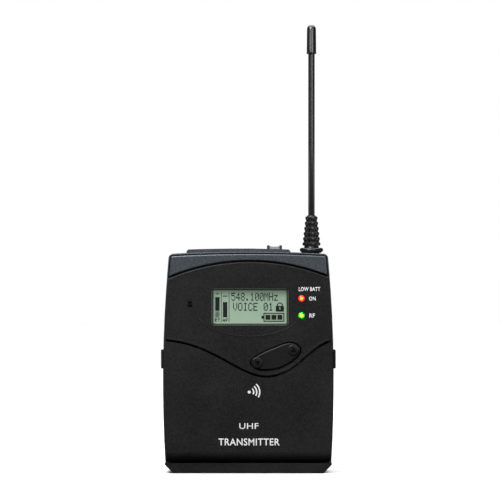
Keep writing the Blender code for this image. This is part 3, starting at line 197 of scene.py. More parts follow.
for i, (axis, start, end, first, last) in enumerate(FALLOFF):
    falloff = room.nodes.new("ShaderNodeMapRange")
    room.links.new(split.outputs[axis], falloff.inputs["Value"])
    for socket, value in (("From Min", start), ("From Max", end), ("To Min", first), ("To Max", last)):
        falloff.inputs[socket].default_value = value
    room.links.new(falloff.outputs[0], product.inputs[i])
room.links.new(product.outputs[0], dim.inputs["Strength"])
print("world strength is a product of", len(FALLOFF), "ramps")

# %% [markdown]
# ## Shader maths as plain expressions
#
# A procedural finish is arithmetic on noise and on places in the object. Wiring Math nodes by
# hand hides that arithmetic, so one small class wraps a socket and overloads the operators:
# `0.5 + 0.1 * grain` adds the nodes that work it out. A second class holds a material and adds
# any other node.


# %% Sockets that do arithmetic
class Value:
    """An output socket. Arithmetic on it adds Math nodes to its material."""

    def __init__(self, finish, socket):
        self.finish = finish
        self.socket = socket

    def math(self, operation, first, second=0.0):
        return self.finish.node("ShaderNodeMath", {"operation": operation}, {0: first, 1: second})

    def __add__(self, other):
        return self.math("ADD", self, other)

    def __sub__(self, other):
        return self.math("SUBTRACT", self, other)

    def __rsub__(self, other):
        return self.math("SUBTRACT", other, self)

    def __mul__(self, other):
        return self.math("MULTIPLY", self, other)

    def __truediv__(self, other):
        return self.math("DIVIDE", self, other)

    def __lt__(self, other):
        return self.math("LESS_THAN", self, other)

    __radd__ = __add__
    __rmul__ = __mul__

    def __abs__(self):
        return self.math("ABSOLUTE", self)

    def root(self):
        return self.math("SQRT", self)

    def wrap(self, step):
        """Where self lies within repeats of a step, from 0 to 1."""
        return self.math("FRACT", self / step)

    def ramp(self, start, end):
        """0 before start, 1 after end, a smooth step between."""
        settings = {"interpolation_type": "SMOOTHSTEP"}
        links = {"Value": self, "From Min": start, "From Max": end}
        return self.finish.node("ShaderNodeMapRange", settings, links)


class Finish:
    """A material, and the method that adds nodes to it."""

    def __init__(self, name, **constants):
        self.material = bpy.data.materials.new(name)
        self.material.use_nodes = True
        self.tree = self.material.node_tree
        self.shader = self.tree.nodes["Principled BSDF"]
        for socket, value in constants.items():
            self.shader.inputs[socket.replace("_", " ").title().replace("Ior", "IOR")].default_value = value
        self.place = None

    def node(self, kind, settings=None, links=None, output=0):
        node = self.tree.nodes.new(kind)
        for key, setting in (settings or {}).items():
            if key == "stops":
                ramp = node.color_ramp
                while len(ramp.elements) < len(setting):
                    ramp.elements.new(1.0)
                for element, (position, color) in zip(ramp.elements, setting):
                    element.position = position
                    element.color = (*color, 1.0)
            else:
                setattr(node, key, setting)
        for key, value in (links or {}).items():
            self.link(node.inputs[key], value)
        return Value(self, node.outputs[output])

    def link(self, socket, value):
        if isinstance(value, Value):
            self.tree.links.new(value.socket, socket)
        elif isinstance(value, tuple) and socket.type == "RGBA":
            socket.default_value = (*value, 1.0)
        else:
            socket.default_value = value

    def set(self, name, value):
        self.link(self.shader.inputs[name], value)

    def position(self):
        """The place on the object, in metres, as one vector."""
        if self.place is None:
            self.place = self.node("ShaderNodeTexCoord", output="Object")
        return self.place

    def xyz(self):
        split = self.node("ShaderNodeSeparateXYZ", links={0: self.position()})
        outputs = split.socket.node.outputs
        return [Value(self, outputs[i]) for i in range(3)]

    def noise(self, scale, detail=2.0, roughness=0.5, stretch=None):
        where = self.position()
        if stretch:
            where = self.node("ShaderNodeMapping", links={0: where, "Scale": stretch})
        links = {"Vector": where, "Scale": scale, "Detail": detail, "Roughness": roughness}
        return self.node("ShaderNodeTexNoise", links=links)

    def mix(self, share, first, second):
        node = self.tree.nodes.new("ShaderNodeMix")
        node.data_type = "RGBA"
        self.link(node.inputs[0], share)
        self.link(node.inputs[6], first)
        self.link(node.inputs[7], second)
        return Value(self, node.outputs[2])

    def bump(self, height, depth, strength=1.0):
        links = {"Height": height, "Distance": depth, "Strength": strength}
        self.set("Normal", self.node("ShaderNodeBump", links=links))


# %% [markdown]
# ## The finishes
#
# The front is black ABS from an etched mould: a grain of about a third of a millimetre that
# breaks up reflections, slightly uneven in gloss. The shell and lid are painted metal, a slate
# grey with light flecks. The antenna is matte rubber, the clip black spring steel.


# %% Moulded plastics
def moulded(name, dark, light, roughness, grain_depth, specular=0.5, coat=0.0):
    """Plastic or rubber from a grained mould, a little uneven in tone and in gloss."""
    finish = Finish(name, specular_ior_level=specular, coat_weight=coat, coat_roughness=0.22)
    cloud = finish.noise(60.0, 3.0)
    grain = finish.noise(2300.0, 2.0, 0.65)
    tone = 0.3 * cloud + 0.7 * grain
    finish.set("Base Color", finish.mix(tone.ramp(0.34, 0.66), dark, light))
    finish.set("Roughness", roughness + 0.14 * (cloud - 0.5) + 0.16 * (grain - 0.5))
    finish.bump(grain, grain_depth * MM, 0.6)
    return finish.material


MOULDED = [
    # name, darkest and lightest colour, roughness, depth of grain in mm, specular level, coat
    ("front_plastic", (0.0085, 0.0085, 0.0087), (0.021, 0.021, 0.0213), 0.45, 0.03, 0.12, 0.08),
    ("key_plastic", (0.008, 0.008, 0.0082), (0.013, 0.013, 0.0133), 0.38, 0.008, 0.14, 0.12),
    ("inner_plastic", (0.009, 0.009, 0.0095), (0.013, 0.013, 0.0135), 0.6, 0.02, 0.35, 0.0),
    ("antenna_rubber", (0.003, 0.003, 0.003), (0.006, 0.006, 0.006), 0.3, 0.006, 0.6, 0.0),
    ("rod_sleeve", (0.008, 0.008, 0.008), (0.012, 0.012, 0.012), 0.32, 0.004, 1.0, 0.0),
    ("cover_foam", (0.02, 0.02, 0.022), (0.05, 0.05, 0.052), 0.95, 0.12, 0.2, 0.0),
    ("infrared_window", (0.004, 0.0018, 0.0022), (0.007, 0.003, 0.0036), 0.16, 0.002, 0.5, 0.0),
]
plastics = [moulded(*row) for row in MOULDED]
front_plastic, key_plastic, inner_plastic, antenna_rubber, rod_sleeve, foam, infrared = plastics
print(len(plastics), "moulded finishes")


# %% Slate paint on metal
def slate(name, dark, light, roughness):
    """Satin paint with pale flecks, a faint orange-peel surface and a trace of metal."""
    finish = Finish(name, metallic=0.25, specular_ior_level=0.4, coat_weight=0.6, coat_roughness=0.16)
    fleck = finish.noise(2700.0, 1.0).ramp(0.42, 0.7)
    cloud = finish.noise(45.0, 2.0)
    finish.set("Base Color", finish.mix(0.75 * fleck + 0.25 * cloud, dark, light))
    finish.set("Roughness", roughness + 0.1 * (cloud - 0.5) - 0.08 * fleck)
    finish.bump(finish.noise(1900.0, 2.0), 0.012 * MM, 0.5)
    return finish.material


slate_paint = slate("slate_paint", (0.034, 0.042, 0.051), (0.092, 0.108, 0.124), 0.42)
print(slate_paint.name, "has", len(slate_paint.node_tree.nodes), "nodes")


# %% Metals
def metal(name, dark, light, roughness, stretch=None, metallic=1.0):
    """Bare or plated metal with the fine lines or mottle that its making left."""
    finish = Finish(name, metallic=metallic)
    lines = finish.noise(2500.0, 2.0, 0.6, stretch)
    stain = finish.noise(180.0, 3.0)
    finish.set("Base Color", finish.mix(0.6 * stain + 0.4 * lines, dark, light))
    finish.set("Roughness", roughness + 0.16 * (lines - 0.5) + 0.1 * (stain - 0.5))
    finish.bump(lines, 0.006 * MM, 0.4)
    return finish.material


plated_steel = metal("plated_steel", (0.42, 0.42, 0.41), (0.62, 0.62, 0.6), 0.32, (0.05, 1.0, 1.0))
collar_nickel = metal("collar_nickel", (0.36, 0.36, 0.37), (0.58, 0.58, 0.6), 0.28)
black_steel = metal("black_steel", (0.018, 0.018, 0.02), (0.045, 0.045, 0.05), 0.34, (1.0, 1.0, 0.06), 0.7)
gold_flash = metal("gold_flash", (0.62, 0.42, 0.15), (0.85, 0.62, 0.26), 0.25)
print(len(bpy.data.materials), "finishes so far")

# %% [markdown]
# The slider has a satin metal middle whose light grey colour is a painted sheen, and black ends,
# so its finish reads how far each point lies from the slider's middle. The two status lights are
# lit from behind: the chip glows warm in the middle of the lens and the colour deepens to the rim.


# %% Slider, lights, window and display
def slider_sheen_finish():
    """Satin metal that turns black at both ends, its light grey middle a painted sheen."""
    middle = middle_of("mute_slider")
    finish = Finish("slider_painted_sheen", specular_ior_level=0.5)
    x, y, z = finish.xyz()
    end = abs(x - middle.x).ramp(1.35 * MM, 2.2 * MM)
    lines = finish.noise(2600.0, 2.0, 0.6, (1.0, 0.1, 1.0))
    # the light grey of the middle is a painted sheen, not a colour the metal has
    bright = finish.mix(lines, (0.30, 0.30, 0.31), (0.46, 0.46, 0.47))
    finish.set("Base Color", finish.mix(end, bright, (0.02, 0.02, 0.021)))
    finish.set("Metallic", 0.55 - 0.5 * end)
    finish.set("Roughness", 0.36 + 0.1 * lines)
    finish.bump(lines, 0.008 * MM, 0.4)
    return finish.material


def lit_lens(name, node, core, rim, strength):
    """A lens that glows from core to rim, by distance from its axis."""
    middle = middle_of(node)
    finish = Finish(name, roughness=0.12, emission_strength=strength, coat_weight=0.6)
    x, y, z = finish.xyz()
    across, up = x - middle.x, z - middle.z
    away = (across * across + up * up).root() + 0.12 * MM * (finish.noise(900.0, 2.0) - 0.5)
    stops = [(0.0, core), (0.3, core), (0.62, rim), (1.0, tuple(0.55 * c for c in rim))]
    glow = finish.node("ShaderNodeValToRGB", {"stops": stops}, {0: away.ramp(0.0, 1.25 * MM)})
    finish.set("Base Color", glow)
    finish.set("Emission Color", glow)
    return finish.material


def display_finish():
    """Grey-green liquid crystal over a light guide that is brightest at its lower left."""
    low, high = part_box("display_glass")
    finish = Finish("display", roughness=0.35, emission_strength=0.35, specular_ior_level=0.3)
    x, y, z = finish.xyz()
    grid = (x.wrap(0.28 * MM) < 0.12) + (z.wrap(0.3 * MM) < 0.12)
    guide = (x - low.x) / (high.x - low.x) * 0.5 + (z - low.z) / (high.z - low.z) * 0.5
    share = 0.75 * guide + 0.25 * finish.noise(300.0, 2.0)
    lit = finish.mix(share, (0.335, 0.455, 0.335), (0.27, 0.385, 0.29))
    color = finish.mix(0.09 * grid, lit, (0.12, 0.17, 0.12))
    finish.set("Base Color", color)
    finish.set("Emission Color", color)
    return finish.material


def window_finish():
    """Almost clear plastic with a faint smear."""
    finish = Finish("window_clear", specular_ior_level=0.5)
    smear = finish.noise(120.0, 3.0)
    finish.set("Base Color", finish.mix(smear, (0.05, 0.055, 0.05), (0.09, 0.1, 0.09)))
    finish.set("Roughness", 0.04 + 0.08 * smear)
    finish.set("Alpha", 0.05 + 0.03 * smear)
    return finish.material


slider_painted_sheen = slider_sheen_finish()
red_glow = lit_lens("red_glow", "red_light_lens", (1.0, 0.42, 0.05), (1.0, 0.03, 0.02), 1.1)
green_glow = lit_lens("green_glow", "green_light_lens", (0.75, 0.85, 0.06), (0.03, 0.72, 0.03), 1.0)
display_green = display_finish()
window_clear = window_finish()
print("window alpha is driven by", len(window_clear.node_tree.links), "links")


# %% Inks, board and cell sleeves
def ink(name, light, dark, roughness=0.5, specular=0.5):
    """Screen ink: thin, slightly uneven cover."""
    finish = Finish(name, specular_ior_level=specular)
    patch = finish.noise(2200.0, 3.0, 0.6)
    finish.set("Base Color", finish.mix(patch.ramp(0.35, 0.75), light, dark))
    finish.set("Roughness", roughness + 0.15 * patch)
    return finish.material


def board_finish():
    """Green laminate with lighter copper runs."""
    finish = Finish("circuit_board", coat_weight=0.3)
    x, y, z = finish.xyz()
    weave = (x.wrap(1.3 * MM) < 0.14) + (z.wrap(1.7 * MM) < 0.12)
    runs = finish.noise(220.0, 0.0).ramp(0.48, 0.5) * weave
    finish.set("Base Color", finish.mix(runs, (0.008, 0.07, 0.03), (0.03, 0.16, 0.07)))
    finish.set("Roughness", 0.35 + 0.1 * runs)
    return finish.material


def sleeve_finish(name, node, nub_side):
    """A printed cell sleeve: black, with a copper band at the nub end and a fine ring."""
    low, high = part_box(node)
    nub_x = high.x if nub_side > 0 else low.x
    finish = Finish(name, coat_weight=0.4)
    x, y, z = finish.xyz()
    away = abs(x - nub_x)
    band = away.ramp(13.0 * MM, 13.1 * MM)
    ring = away.ramp(13.9 * MM, 14.0 * MM) * (1 - away.ramp(14.5 * MM, 14.6 * MM))
    bare = 1 - away.ramp(1.5 * MM, 1.6 * MM)
    copper = finish.mix(finish.noise(900.0), (0.42, 0.17, 0.06), (0.52, 0.22, 0.08))
    color = finish.mix(band, copper, (0.016, 0.016, 0.018))
    color = finish.mix(ring, color, (0.55, 0.55, 0.55))
    finish.set("Base Color", finish.mix(bare, color, (0.6, 0.6, 0.6)))
    finish.set("Metallic", 0.75 - 0.6 * band + 0.25 * bare)
    finish.set("Roughness", 0.3 + 0.08 * finish.noise(400.0, 3.0))
    return finish.material


white_ink = ink("white_ink", (0.95, 0.95, 0.95), (0.8, 0.8, 0.8))
grey_ink = ink("grey_ink", (0.3, 0.31, 0.32), (0.2, 0.21, 0.22))
display_ink = ink("display_ink", (0.008, 0.01, 0.008), (0.014, 0.017, 0.014), 0.5, 0.1)
frame_ink = ink("window_border", (0.012, 0.014, 0.012), (0.02, 0.022, 0.02), 0.3)
circuit_board = board_finish()
upper_sleeve = sleeve_finish("upper_sleeve", "battery_upper", 1)
lower_sleeve = sleeve_finish("lower_sleeve", "battery_lower", -1)
arrow_ink = ink("arrow_ink", (0.002, 0.002, 0.002), (0.004, 0.004, 0.004), 0.7, 0.05)
print(len(bpy.data.materials), "finishes")

# %% [markdown]
# ## Tools for modelling
#
# Every operator works on what is selected, so each step starts by selecting nothing. A part that
# the frame already holds at its right shape is copied: the copy's loose triangles are merged,
# flat triangles are dissolved into whole faces, and a Bevel rounds the edges that a mould or a
# die would have rounded. New details start as primitives.


# %% Selection and modifier helpers
MERGE = 0.002 * MM
FLAT = math.radians(0.3)


def only(piece):
    """Select this piece alone and make it active."""
    if bpy.context.mode != "OBJECT":
        bpy.ops.object.mode_set(mode="OBJECT")
    bpy.ops.object.select_all(action="DESELECT")
    piece.hide_set(False)
    piece.select_set(True)
    bpy.context.view_layer.objects.active = piece
    return piece


def edit(piece):
    """Open this piece alone in Edit Mode with everything selected."""
    only(piece)
    bpy.ops.object.mode_set(mode="EDIT")
    bpy.ops.mesh.select_all(action="SELECT")


def close():
    bpy.ops.object.mode_set(mode="OBJECT")


def face_outwards(piece):
    edit(piece)
    bpy.ops.mesh.normals_make_consistent(inside=False)
    close()


def settle(piece):
    """Put the piece's place into its mesh, so that its object sits at the origin."""
    only(piece)
    bpy.ops.object.transform_apply(location=True, rotation=True, scale=True)
    return piece


def apply_modifier(piece, kind, **settings):
    """Add a modifier, set it up and make it part of the mesh."""
    only(piece)
    modifier = piece.modifiers.new("step", kind)
    for key, value in settings.items():
        setattr(modifier, key, value)
    bpy.ops.object.modifier_apply(modifier=modifier.name)
    return piece


def smooth(piece, degrees):
    """Smooth shading between faces that meet within an angle."""
    only(piece)
    bpy.ops.object.shade_smooth_by_angle(angle=math.radians(degrees))
    return piece


def shade(piece):
    """Smooth shading that leaves large flat faces flat."""
    smooth(piece, 30)
    return apply_modifier(piece, "WEIGHTED_NORMAL", keep_sharp=True, weight=100)


def round_edges(piece, width, segments=3):
    """Round every edge sharper than 35 degrees, then shade the piece smooth but for its corners."""
    settings = {"limit_method": "ANGLE", "angle_limit": math.radians(35), "use_clamp_overlap": True}
    apply_modifier(piece, "BEVEL", width=width, segments=segments, miter_outer="MITER_ARC", **settings)
    return shade(piece)


def round_front(piece, width, segments=4, keep_clear=()):
    """Round the outer edges of the front face, but none inside the boxes to keep clear."""
    front = min(vertex.co.y for vertex in piece.data.vertices)
    edit(piece)
    bpy.ops.mesh.select_mode(type="EDGE")
    bpy.ops.mesh.select_all(action="DESELECT")
    mesh = bmesh.from_edit_mesh(piece.data)
    for edge in mesh.edges:
        if len(edge.link_faces) != 2 or max(v.co.y for v in edge.verts) > front + 0.01 * MM:
            continue
        place = (edge.verts[0].co + edge.verts[1].co) / 2
        inside = any(a.x < place.x < b.x and a.z < place.z < b.z for a, b in keep_clear)
        edge.select = edge.calc_face_angle() > math.radians(40) and not inside
    bmesh.update_edit_mesh(piece.data)
    bpy.ops.mesh.bevel(offset=width, segments=segments, affect="EDGES", clamp_overlap=False)
    bpy.ops.mesh.select_mode(type="VERT")
    close()
    return piece


def wider(node, margin):
    """A node's box with a margin all round."""
    low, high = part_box(node)
    edge = Vector((margin, margin, margin))
    return low - edge, high + edge


def from_frame(node, name):
    """A merged copy of a frame node, with its flat triangles dissolved into whole faces."""
    source = frame["nodes"][node]
    piece = bpy.data.objects.new(name, source.data.copy())
    bpy.context.scene.collection.objects.link(piece)
    piece.data.materials.clear()
    edit(piece)
    bpy.ops.mesh.remove_doubles(threshold=MERGE)
    bpy.ops.mesh.dissolve_limited(angle_limit=FLAT)
    close()
    return piece


def cut_with(piece, tool):
    """Cut the tool's shape out of piece, and remove the tool."""
    apply_modifier(piece, "BOOLEAN", operation="DIFFERENCE", object=tool, solver="EXACT")
    bpy.data.objects.remove(tool, do_unlink=True)
    return piece


def dress(piece, material, body, replaces=()):
    """Give a finished piece its material, the body it rides on and what it stands for.
    A piece that is blended between two bodies rides on none."""
    settle(piece)
    piece.data.materials.clear()
    piece.data.materials.append(material)
    if body:
        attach(piece, body)
    if replaces:
        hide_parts(*replaces)
    return piece


# %% Primitive helpers
def added(name, shape, **settings):
    """Add a primitive of this shape with nothing else selected, and name it."""
    bpy.ops.object.select_all(action="DESELECT")
    getattr(bpy.ops.mesh, f"primitive_{shape}_add")(**settings)
    bpy.context.object.name = name
    return bpy.context.object


def block(name, low, high):
    """A box between two corners."""
    low, high = Vector(low), Vector(high)
    piece = added(name, "cube", size=1.0, location=(low + high) / 2)
    piece.scale = high - low
    return settle(piece)


def point_piece(name, place):
    """A piece of one vertex, open in Edit Mode, from which an outline is drawn."""
    piece = added(name, "plane", size=MM)
    edit(piece)
    bpy.ops.mesh.merge(type="CENTER")
    bpy.ops.transform.translate(value=place)
    return piece


UPRIGHT = {"center": (0, 0, 0), "axis": (0, 0, 1)}


def spun(name, profile, steps=48):
    """Turn a profile of (radius, z) points about the Z axis.

    The profile starts as a single point that is extruded along the outline and then spun.
    """
    piece = point_piece(name, (profile[0][0], 0, profile[0][1]))
    for before, after in zip(profile, profile[1:]):
        step = (after[0] - before[0], 0, after[1] - before[1])
        bpy.ops.mesh.extrude_region_move(TRANSFORM_OT_translate={"value": step})
    bpy.ops.mesh.select_all(action="SELECT")
    bpy.ops.mesh.spin(steps=steps, angle=2 * math.pi, use_auto_merge=True, **UPRIGHT)
    bpy.ops.mesh.select_all(action="SELECT")
    bpy.ops.mesh.remove_doubles(threshold=MERGE)
    bpy.ops.mesh.normals_make_consistent(inside=False)
    close()
    return smooth(piece, 32)


def turned(name, profile, start, direction, steps=48):
    """A profile of (radius, distance) points turned about the line from start along direction."""
    piece = spun(name, profile, steps)
    piece.rotation_euler = Vector(direction).to_track_quat("Z", "Y").to_euler()
    piece.location = start
    return settle(piece)


def copy_of(piece, name, offset):
    """A copy with a mesh of its own, moved by an offset."""
    twin = piece.copy()
    twin.data = piece.data.copy()
    twin.name = name
    bpy.context.scene.collection.objects.link(twin)
    twin.location = offset
    return settle(twin)


def join_all(piece, others):
    """Join the others into piece as one mesh."""
    only(piece)
    for other in others:
        other.select_set(True)
    bpy.ops.object.join()
    return piece


FACING_FRONT = (math.radians(90), 0, 0)
FACING_UP = (0, 0, 0)
PRINT_THICK = 0.04 * MM


def print_words(name, words, size, middle, body, material, facing=FACING_FRONT, weight=0.0):
    """Flat lettering of a width and height about its middle, as raised ink."""
    bpy.ops.object.select_all(action="DESELECT")
    bpy.ops.object.text_add()
    text = bpy.context.object
    text.name = name
    text.data.body = words
    text.data.offset = weight
    text.data.extrude = 0.05
    text.data.resolution_u = 3
    text.data.space_character = 1.07
    bpy.ops.object.convert(target="MESH")
    piece = bpy.context.object
    bpy.ops.object.origin_set(type="ORIGIN_GEOMETRY", center="BOUNDS")
    piece.dimensions = (size[0], size[1], PRINT_THICK)
    piece.rotation_euler = facing
    piece.location = middle
    return dress(piece, material, body)


# %% [markdown]
# ## Floor
#
# The object stands on pale paper. One square plane is wide enough to fill the lower part of the
# view, and the white room behind it has the same tone, so that no horizon shows.

# %% Sweep
floor_finish = Finish("paper", roughness=0.8, specular_ior_level=0.2)
fibre = floor_finish.noise(500.0, 3.0)
floor_finish.set("Base Color", floor_finish.mix(fibre, (0.93, 0.93, 0.93), (0.97, 0.97, 0.97)))
sweep = settle(added("paper_sweep", "plane", size=6.0, location=(0, 0, -0.05 * MM)))
sweep.data.materials.append(floor_finish.material)
# the paper neither lights the object nor shows in its gloss
sweep.visible_diffuse = False
sweep.visible_glossy = False

# %% [markdown]
# ## Case shells
#
# The rear shell and lid are die-cast and painted, with generous rounded edges; the panel and
# battery cover are moulded, with tighter ones. The panel's rounded rim is what catches light
# along both seams. All of them are refined from the frame's own shapes by the same three steps,
# so one table says how round each one is.

# %% Refined parts
REFINED = [
    # node, piece, edge radius in mm, material, slot
    ("rear_shell", "rear_shell_cast", 0.45, slate_paint, "slate_paint"),
    ("top_lid", "top_lid_cast", 0.3, slate_paint, "slate_paint"),
    ("front_panel", "front_panel_moulded", 0.15, front_plastic, "black_plastic"),
    ("battery_cover", "battery_cover_moulded", 0.15, front_plastic, "black_plastic"),
    ("connector_plate", "connector_plate_moulded", 0.3, slate_paint, "slate_paint"),
    ("mute_slider", "mute_slider_cap", 0.25, slider_painted_sheen, "key_rubber"),
    ("inner_frame", "inner_frame_moulded", 0.12, inner_plastic, "inner_plastic"),
    ("battery_tray", "battery_tray_moulded", 0.2, inner_plastic, "inner_plastic"),
    ("audio_jack", "audio_jack_body", 0.15, inner_plastic, "inner_plastic"),
    ("display_window", "display_window_clear", 0.12, window_clear, "clear_window"),
    ("display_glass", "display_cell", 0.1, display_green, "display"),
    ("display_holder", "display_holder_moulded", 0.25, inner_plastic, "inner_plastic"),
    ("infrared_window", "infrared_port", 0.12, infrared, "infrared"),
    ("main_board", "main_board_laminate", 0.06, circuit_board, "circuit_board"),
    ("shield_can", "shield_can_pressed", 0.3, plated_steel, "plated_steel"),
    ("up_switch", "up_switch_dome", 0.2, plated_steel, "plated_steel"),
    ("down_switch", "down_switch_dome", 0.2, plated_steel, "plated_steel"),
    ("set_switch", "set_switch_dome", 0.15, plated_steel, "plated_steel"),
    ("power_switch", "power_switch_dome", 0.15, plated_steel, "plated_steel"),
    ("mute_switch", "mute_switch_housing", 0.25, inner_plastic, "inner_plastic"),
    ("red_light_chip", "red_light_package", 0.12, white_ink, "plated_steel"),
    ("green_light_chip", "green_light_package", 0.12, white_ink, "plated_steel"),
    ("contact_bridge", "contact_bridge_sprung", 0.08, plated_steel, "plated_steel"),
    ("contact_tab_upper", "contact_tab_upper_sprung", 0.08, plated_steel, "plated_steel"),
    ("contact_tab_lower", "contact_tab_lower_sprung", 0.08, plated_steel, "plated_steel"),
]
OPENINGS = ("display_window", "rocker_key", "red_light_lens", "green_light_lens", "infrared_window")
FRONT_ROUNDING = {"top_lid": 0.5, "front_panel": 0.32, "battery_cover": 0.35}
cover_low, cover_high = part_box("battery_cover")
side_strip = Vector((0.6 * MM, 0, 0))
KEPT_SHARP = {
    "front_panel": [wider(hole, 0.8 * MM) for hole in OPENINGS],
    "battery_cover": [(cover_low + side_strip, cover_high - side_strip + Vector((0, 0, MM)))],
}
refined = {}
for node, name, radius, material, slot in REFINED:
    piece = from_frame(node, name)
    if node in FRONT_ROUNDING:
        round_front(piece, FRONT_ROUNDING[node] * MM, keep_clear=KEPT_SHARP.get(node, ()))
    round_edges(piece, radius * MM)
    body = body_of(frame["nodes"][node])[0]
    refined[node] = dress(piece, material, body, [node])
print(sum(len(p.data.polygons) for p in refined.values()), "faces in", len(refined), "parts")

# %% [markdown]
# The front rail under the battery cover belongs to the shell but is left black. The shell's
# faces are cut along the line where the paint ends, and the faces in front of it take a second
# material.

# %% Black rail
shell = refined["rear_shell"]
rail_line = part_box("battery_cover")[1].y - 0.1 * MM
edit(shell)
bpy.ops.mesh.bisect(plane_co=(0, rail_line, 0), plane_no=(0, 1, 0))
close()
shell.data.materials.append(front_plastic)
for face in shell.data.polygons:
    if face.center.y < rail_line:
        face.material_index = 1
print("paint ends at y", round(rail_line / MM, 2))

# %% [markdown]
# ## Lid rim and panel bead
#
# The lid's front face stands inside a rim, with a narrow dark groove between them, and a fine
# bead runs along the panel's upper and lower edges. All follow an edge that the frame already
# has, so their points are read off a front face's outline and moved by a set distance. A flat
# curve through them, extruded and thickened, is the rim; a round one is a bead. One more bead,
# along half an ellipse, is the lower lip of the dish round the display.


# %% Outlines of front faces
def front_outline(node, upper=True):
    """Points (x, z) along the upper or lower edge of a node's front face, left to right."""
    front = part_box(node)[0].y
    mesh = bmesh.new()
    mesh.from_mesh(frame["nodes"][node].data)
    bmesh.ops.remove_doubles(mesh, verts=mesh.verts, dist=MERGE)
    bmesh.ops.dissolve_limit(mesh, angle_limit=FLAT, verts=mesh.verts, edges=mesh.edges)
    faces = [f for f in mesh.faces if f.normal.y < -0.99 and f.calc_center_median().y < front + 0.01 * MM]
    loop = [(v.co.x, v.co.z) for v in max(faces, key=lambda f: f.calc_area()).verts]
    mesh.free()
    # the lid's ends are its lowest corners, the cover's ends its highest
    rise = 1 if node == "top_lid" else -1
    count = len(loop)
    left = min(range(count), key=lambda i: loop[i][0] + rise * loop[i][1])
    right = max(range(count), key=lambda i: loop[i][0] - rise * loop[i][1])
    ways = []
    for turn in (1, -1):
        way = [loop[left]]
        step = left
        while step != right:
            step = (step + turn) % count
            way.append(loop[step])
        ways.append(way)
    ways.sort(key=lambda way: sum(z for x, z in way) / len(way))
    return ways[1] if upper else ways[0]


def moved_out(path, distance):
    """The same path, each point moved square to it, up for a path that runs to the right."""
    moved = []
    for i, (x, z) in enumerate(path):
        before, after = path[max(i - 1, 0)], path[min(i + 1, len(path) - 1)]
        along = Vector((after[0] - before[0], after[1] - before[1])).normalized()
        moved.append((x - along.y * distance, z + along.x * distance))
    return moved


def wire_piece(name, points, **settings):
    """A curve through the points, with the settings that give it a body, made a mesh."""
    data = bpy.data.curves.new(name, "CURVE")
    data.dimensions = "3D"
    for key, value in settings.items():
        setattr(data, key, value)
    spline = data.splines.new("POLY")
    spline.points.add(len(points) - 1)
    for point, place in zip(spline.points, points):
        point.co = (*place, 1.0)
    piece = bpy.data.objects.new(name, data)
    bpy.context.scene.collection.objects.link(piece)
    only(piece)
    bpy.ops.object.convert(target="MESH")
    return bpy.context.object


def path_curve(name, path, y, **settings):
    """A curve through (x, z) points at a depth y, made a mesh."""
    piece = wire_piece(name, [(x, z, 0) for x, z in path], **settings)
    piece.rotation_euler = FACING_FRONT
    piece.location = (0, y, 0)
    return settle(piece)


# %% Lid rim
RIM_GROOVE = 0.26 * MM
RIM_THICK = 0.5 * MM
lid_edge = front_outline("top_lid")
rim_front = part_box("top_lid")[0].y + 0.55 * MM
rim_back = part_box("front_panel")[1].y + 0.1 * MM
rim_path = moved_out(lid_edge, RIM_GROOVE + RIM_THICK / 2)
rim = path_curve("lid_rim_cast", rim_path, (rim_front + rim_back) / 2, extrude=(rim_back - rim_front) / 2)
apply_modifier(rim, "SOLIDIFY", thickness=RIM_THICK, offset=0.0, use_even_offset=True)
face_outwards(rim)
round_edges(rim, 0.15 * MM)
dress(rim, slate_paint, "case")
print("rim follows", len(lid_edge), "points")

# %% Beads and dish lip
SEAM_GAP = 0.6 * MM
DISH_HALF = (20.2 * MM, 10.5 * MM)
panel_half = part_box("front_panel")[1].x - 0.6 * MM
dish = middle_of("display_window") - Vector((0.3 * MM, 0, 0.2 * MM))
turns = [math.radians(degrees) for degrees in range(176, 365, 4)]
lower_path = moved_out(front_outline("battery_cover"), SEAM_GAP + 0.62 * MM)
upper_path = moved_out(front_outline("top_lid", upper=False), -SEAM_GAP - 0.42 * MM)
lip_path = [(dish.x + DISH_HALF[0] * math.cos(t), dish.z + DISH_HALF[1] * math.sin(t)) for t in turns]
BEADS = [
    # name, path, depth of the axis behind the front, radius
    ("panel_bead_lower", lower_path, 0.09, 0.17),
    ("panel_bead_upper", upper_path, 0.09, 0.17),
    ("display_dish_lip", lip_path, 0.05, 0.2),
]
for name, path, depth, radius in BEADS:
    path = [place for place in path if abs(place[0]) < panel_half]
    round_wire = {"bevel_depth": radius * MM, "bevel_resolution": 3, "use_fill_caps": True}
    bead = path_curve(name, path, FRONT_Y + depth * MM, **round_wire)
    dress(smooth(bead, 40), front_plastic, "case")
print(len(BEADS), "beads")

# %% [markdown]
# Inside the battery cover, four shallow ribs stiffen the wall and a foam pad holds the cells
# down when it shuts.

# %% Ribs and foam
COVER_WALL = 1.6 * MM
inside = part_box("battery_cover")[0].y + COVER_WALL
for number, x in enumerate((-21.0, -17.0, 17.0, 21.0), 1):
    corner = (x * MM - 0.4 * MM, inside - 0.1 * MM, 11 * MM)
    rib = block(f"cover_rib_{number}", corner, (x * MM + 0.4 * MM, inside + 0.8 * MM, 31 * MM))
    round_edges(rib, 0.15 * MM)
    dress(rib, front_plastic, "battery_cover")
corner = (-13 * MM, inside - 0.05 * MM, 13 * MM)
pad = block("cover_foam_pad", corner, (13 * MM, inside + 2.4 * MM, 27 * MM))
round_edges(pad, 0.6 * MM, 4)
dress(pad, foam, "battery_cover")
print("pad", len(pad.data.polygons), "faces")

# %% [markdown]
# A thin rubber gasket closes the joint between the shell and the lid. It starts as a block, and
# the middle of it is cut out by a smaller one.

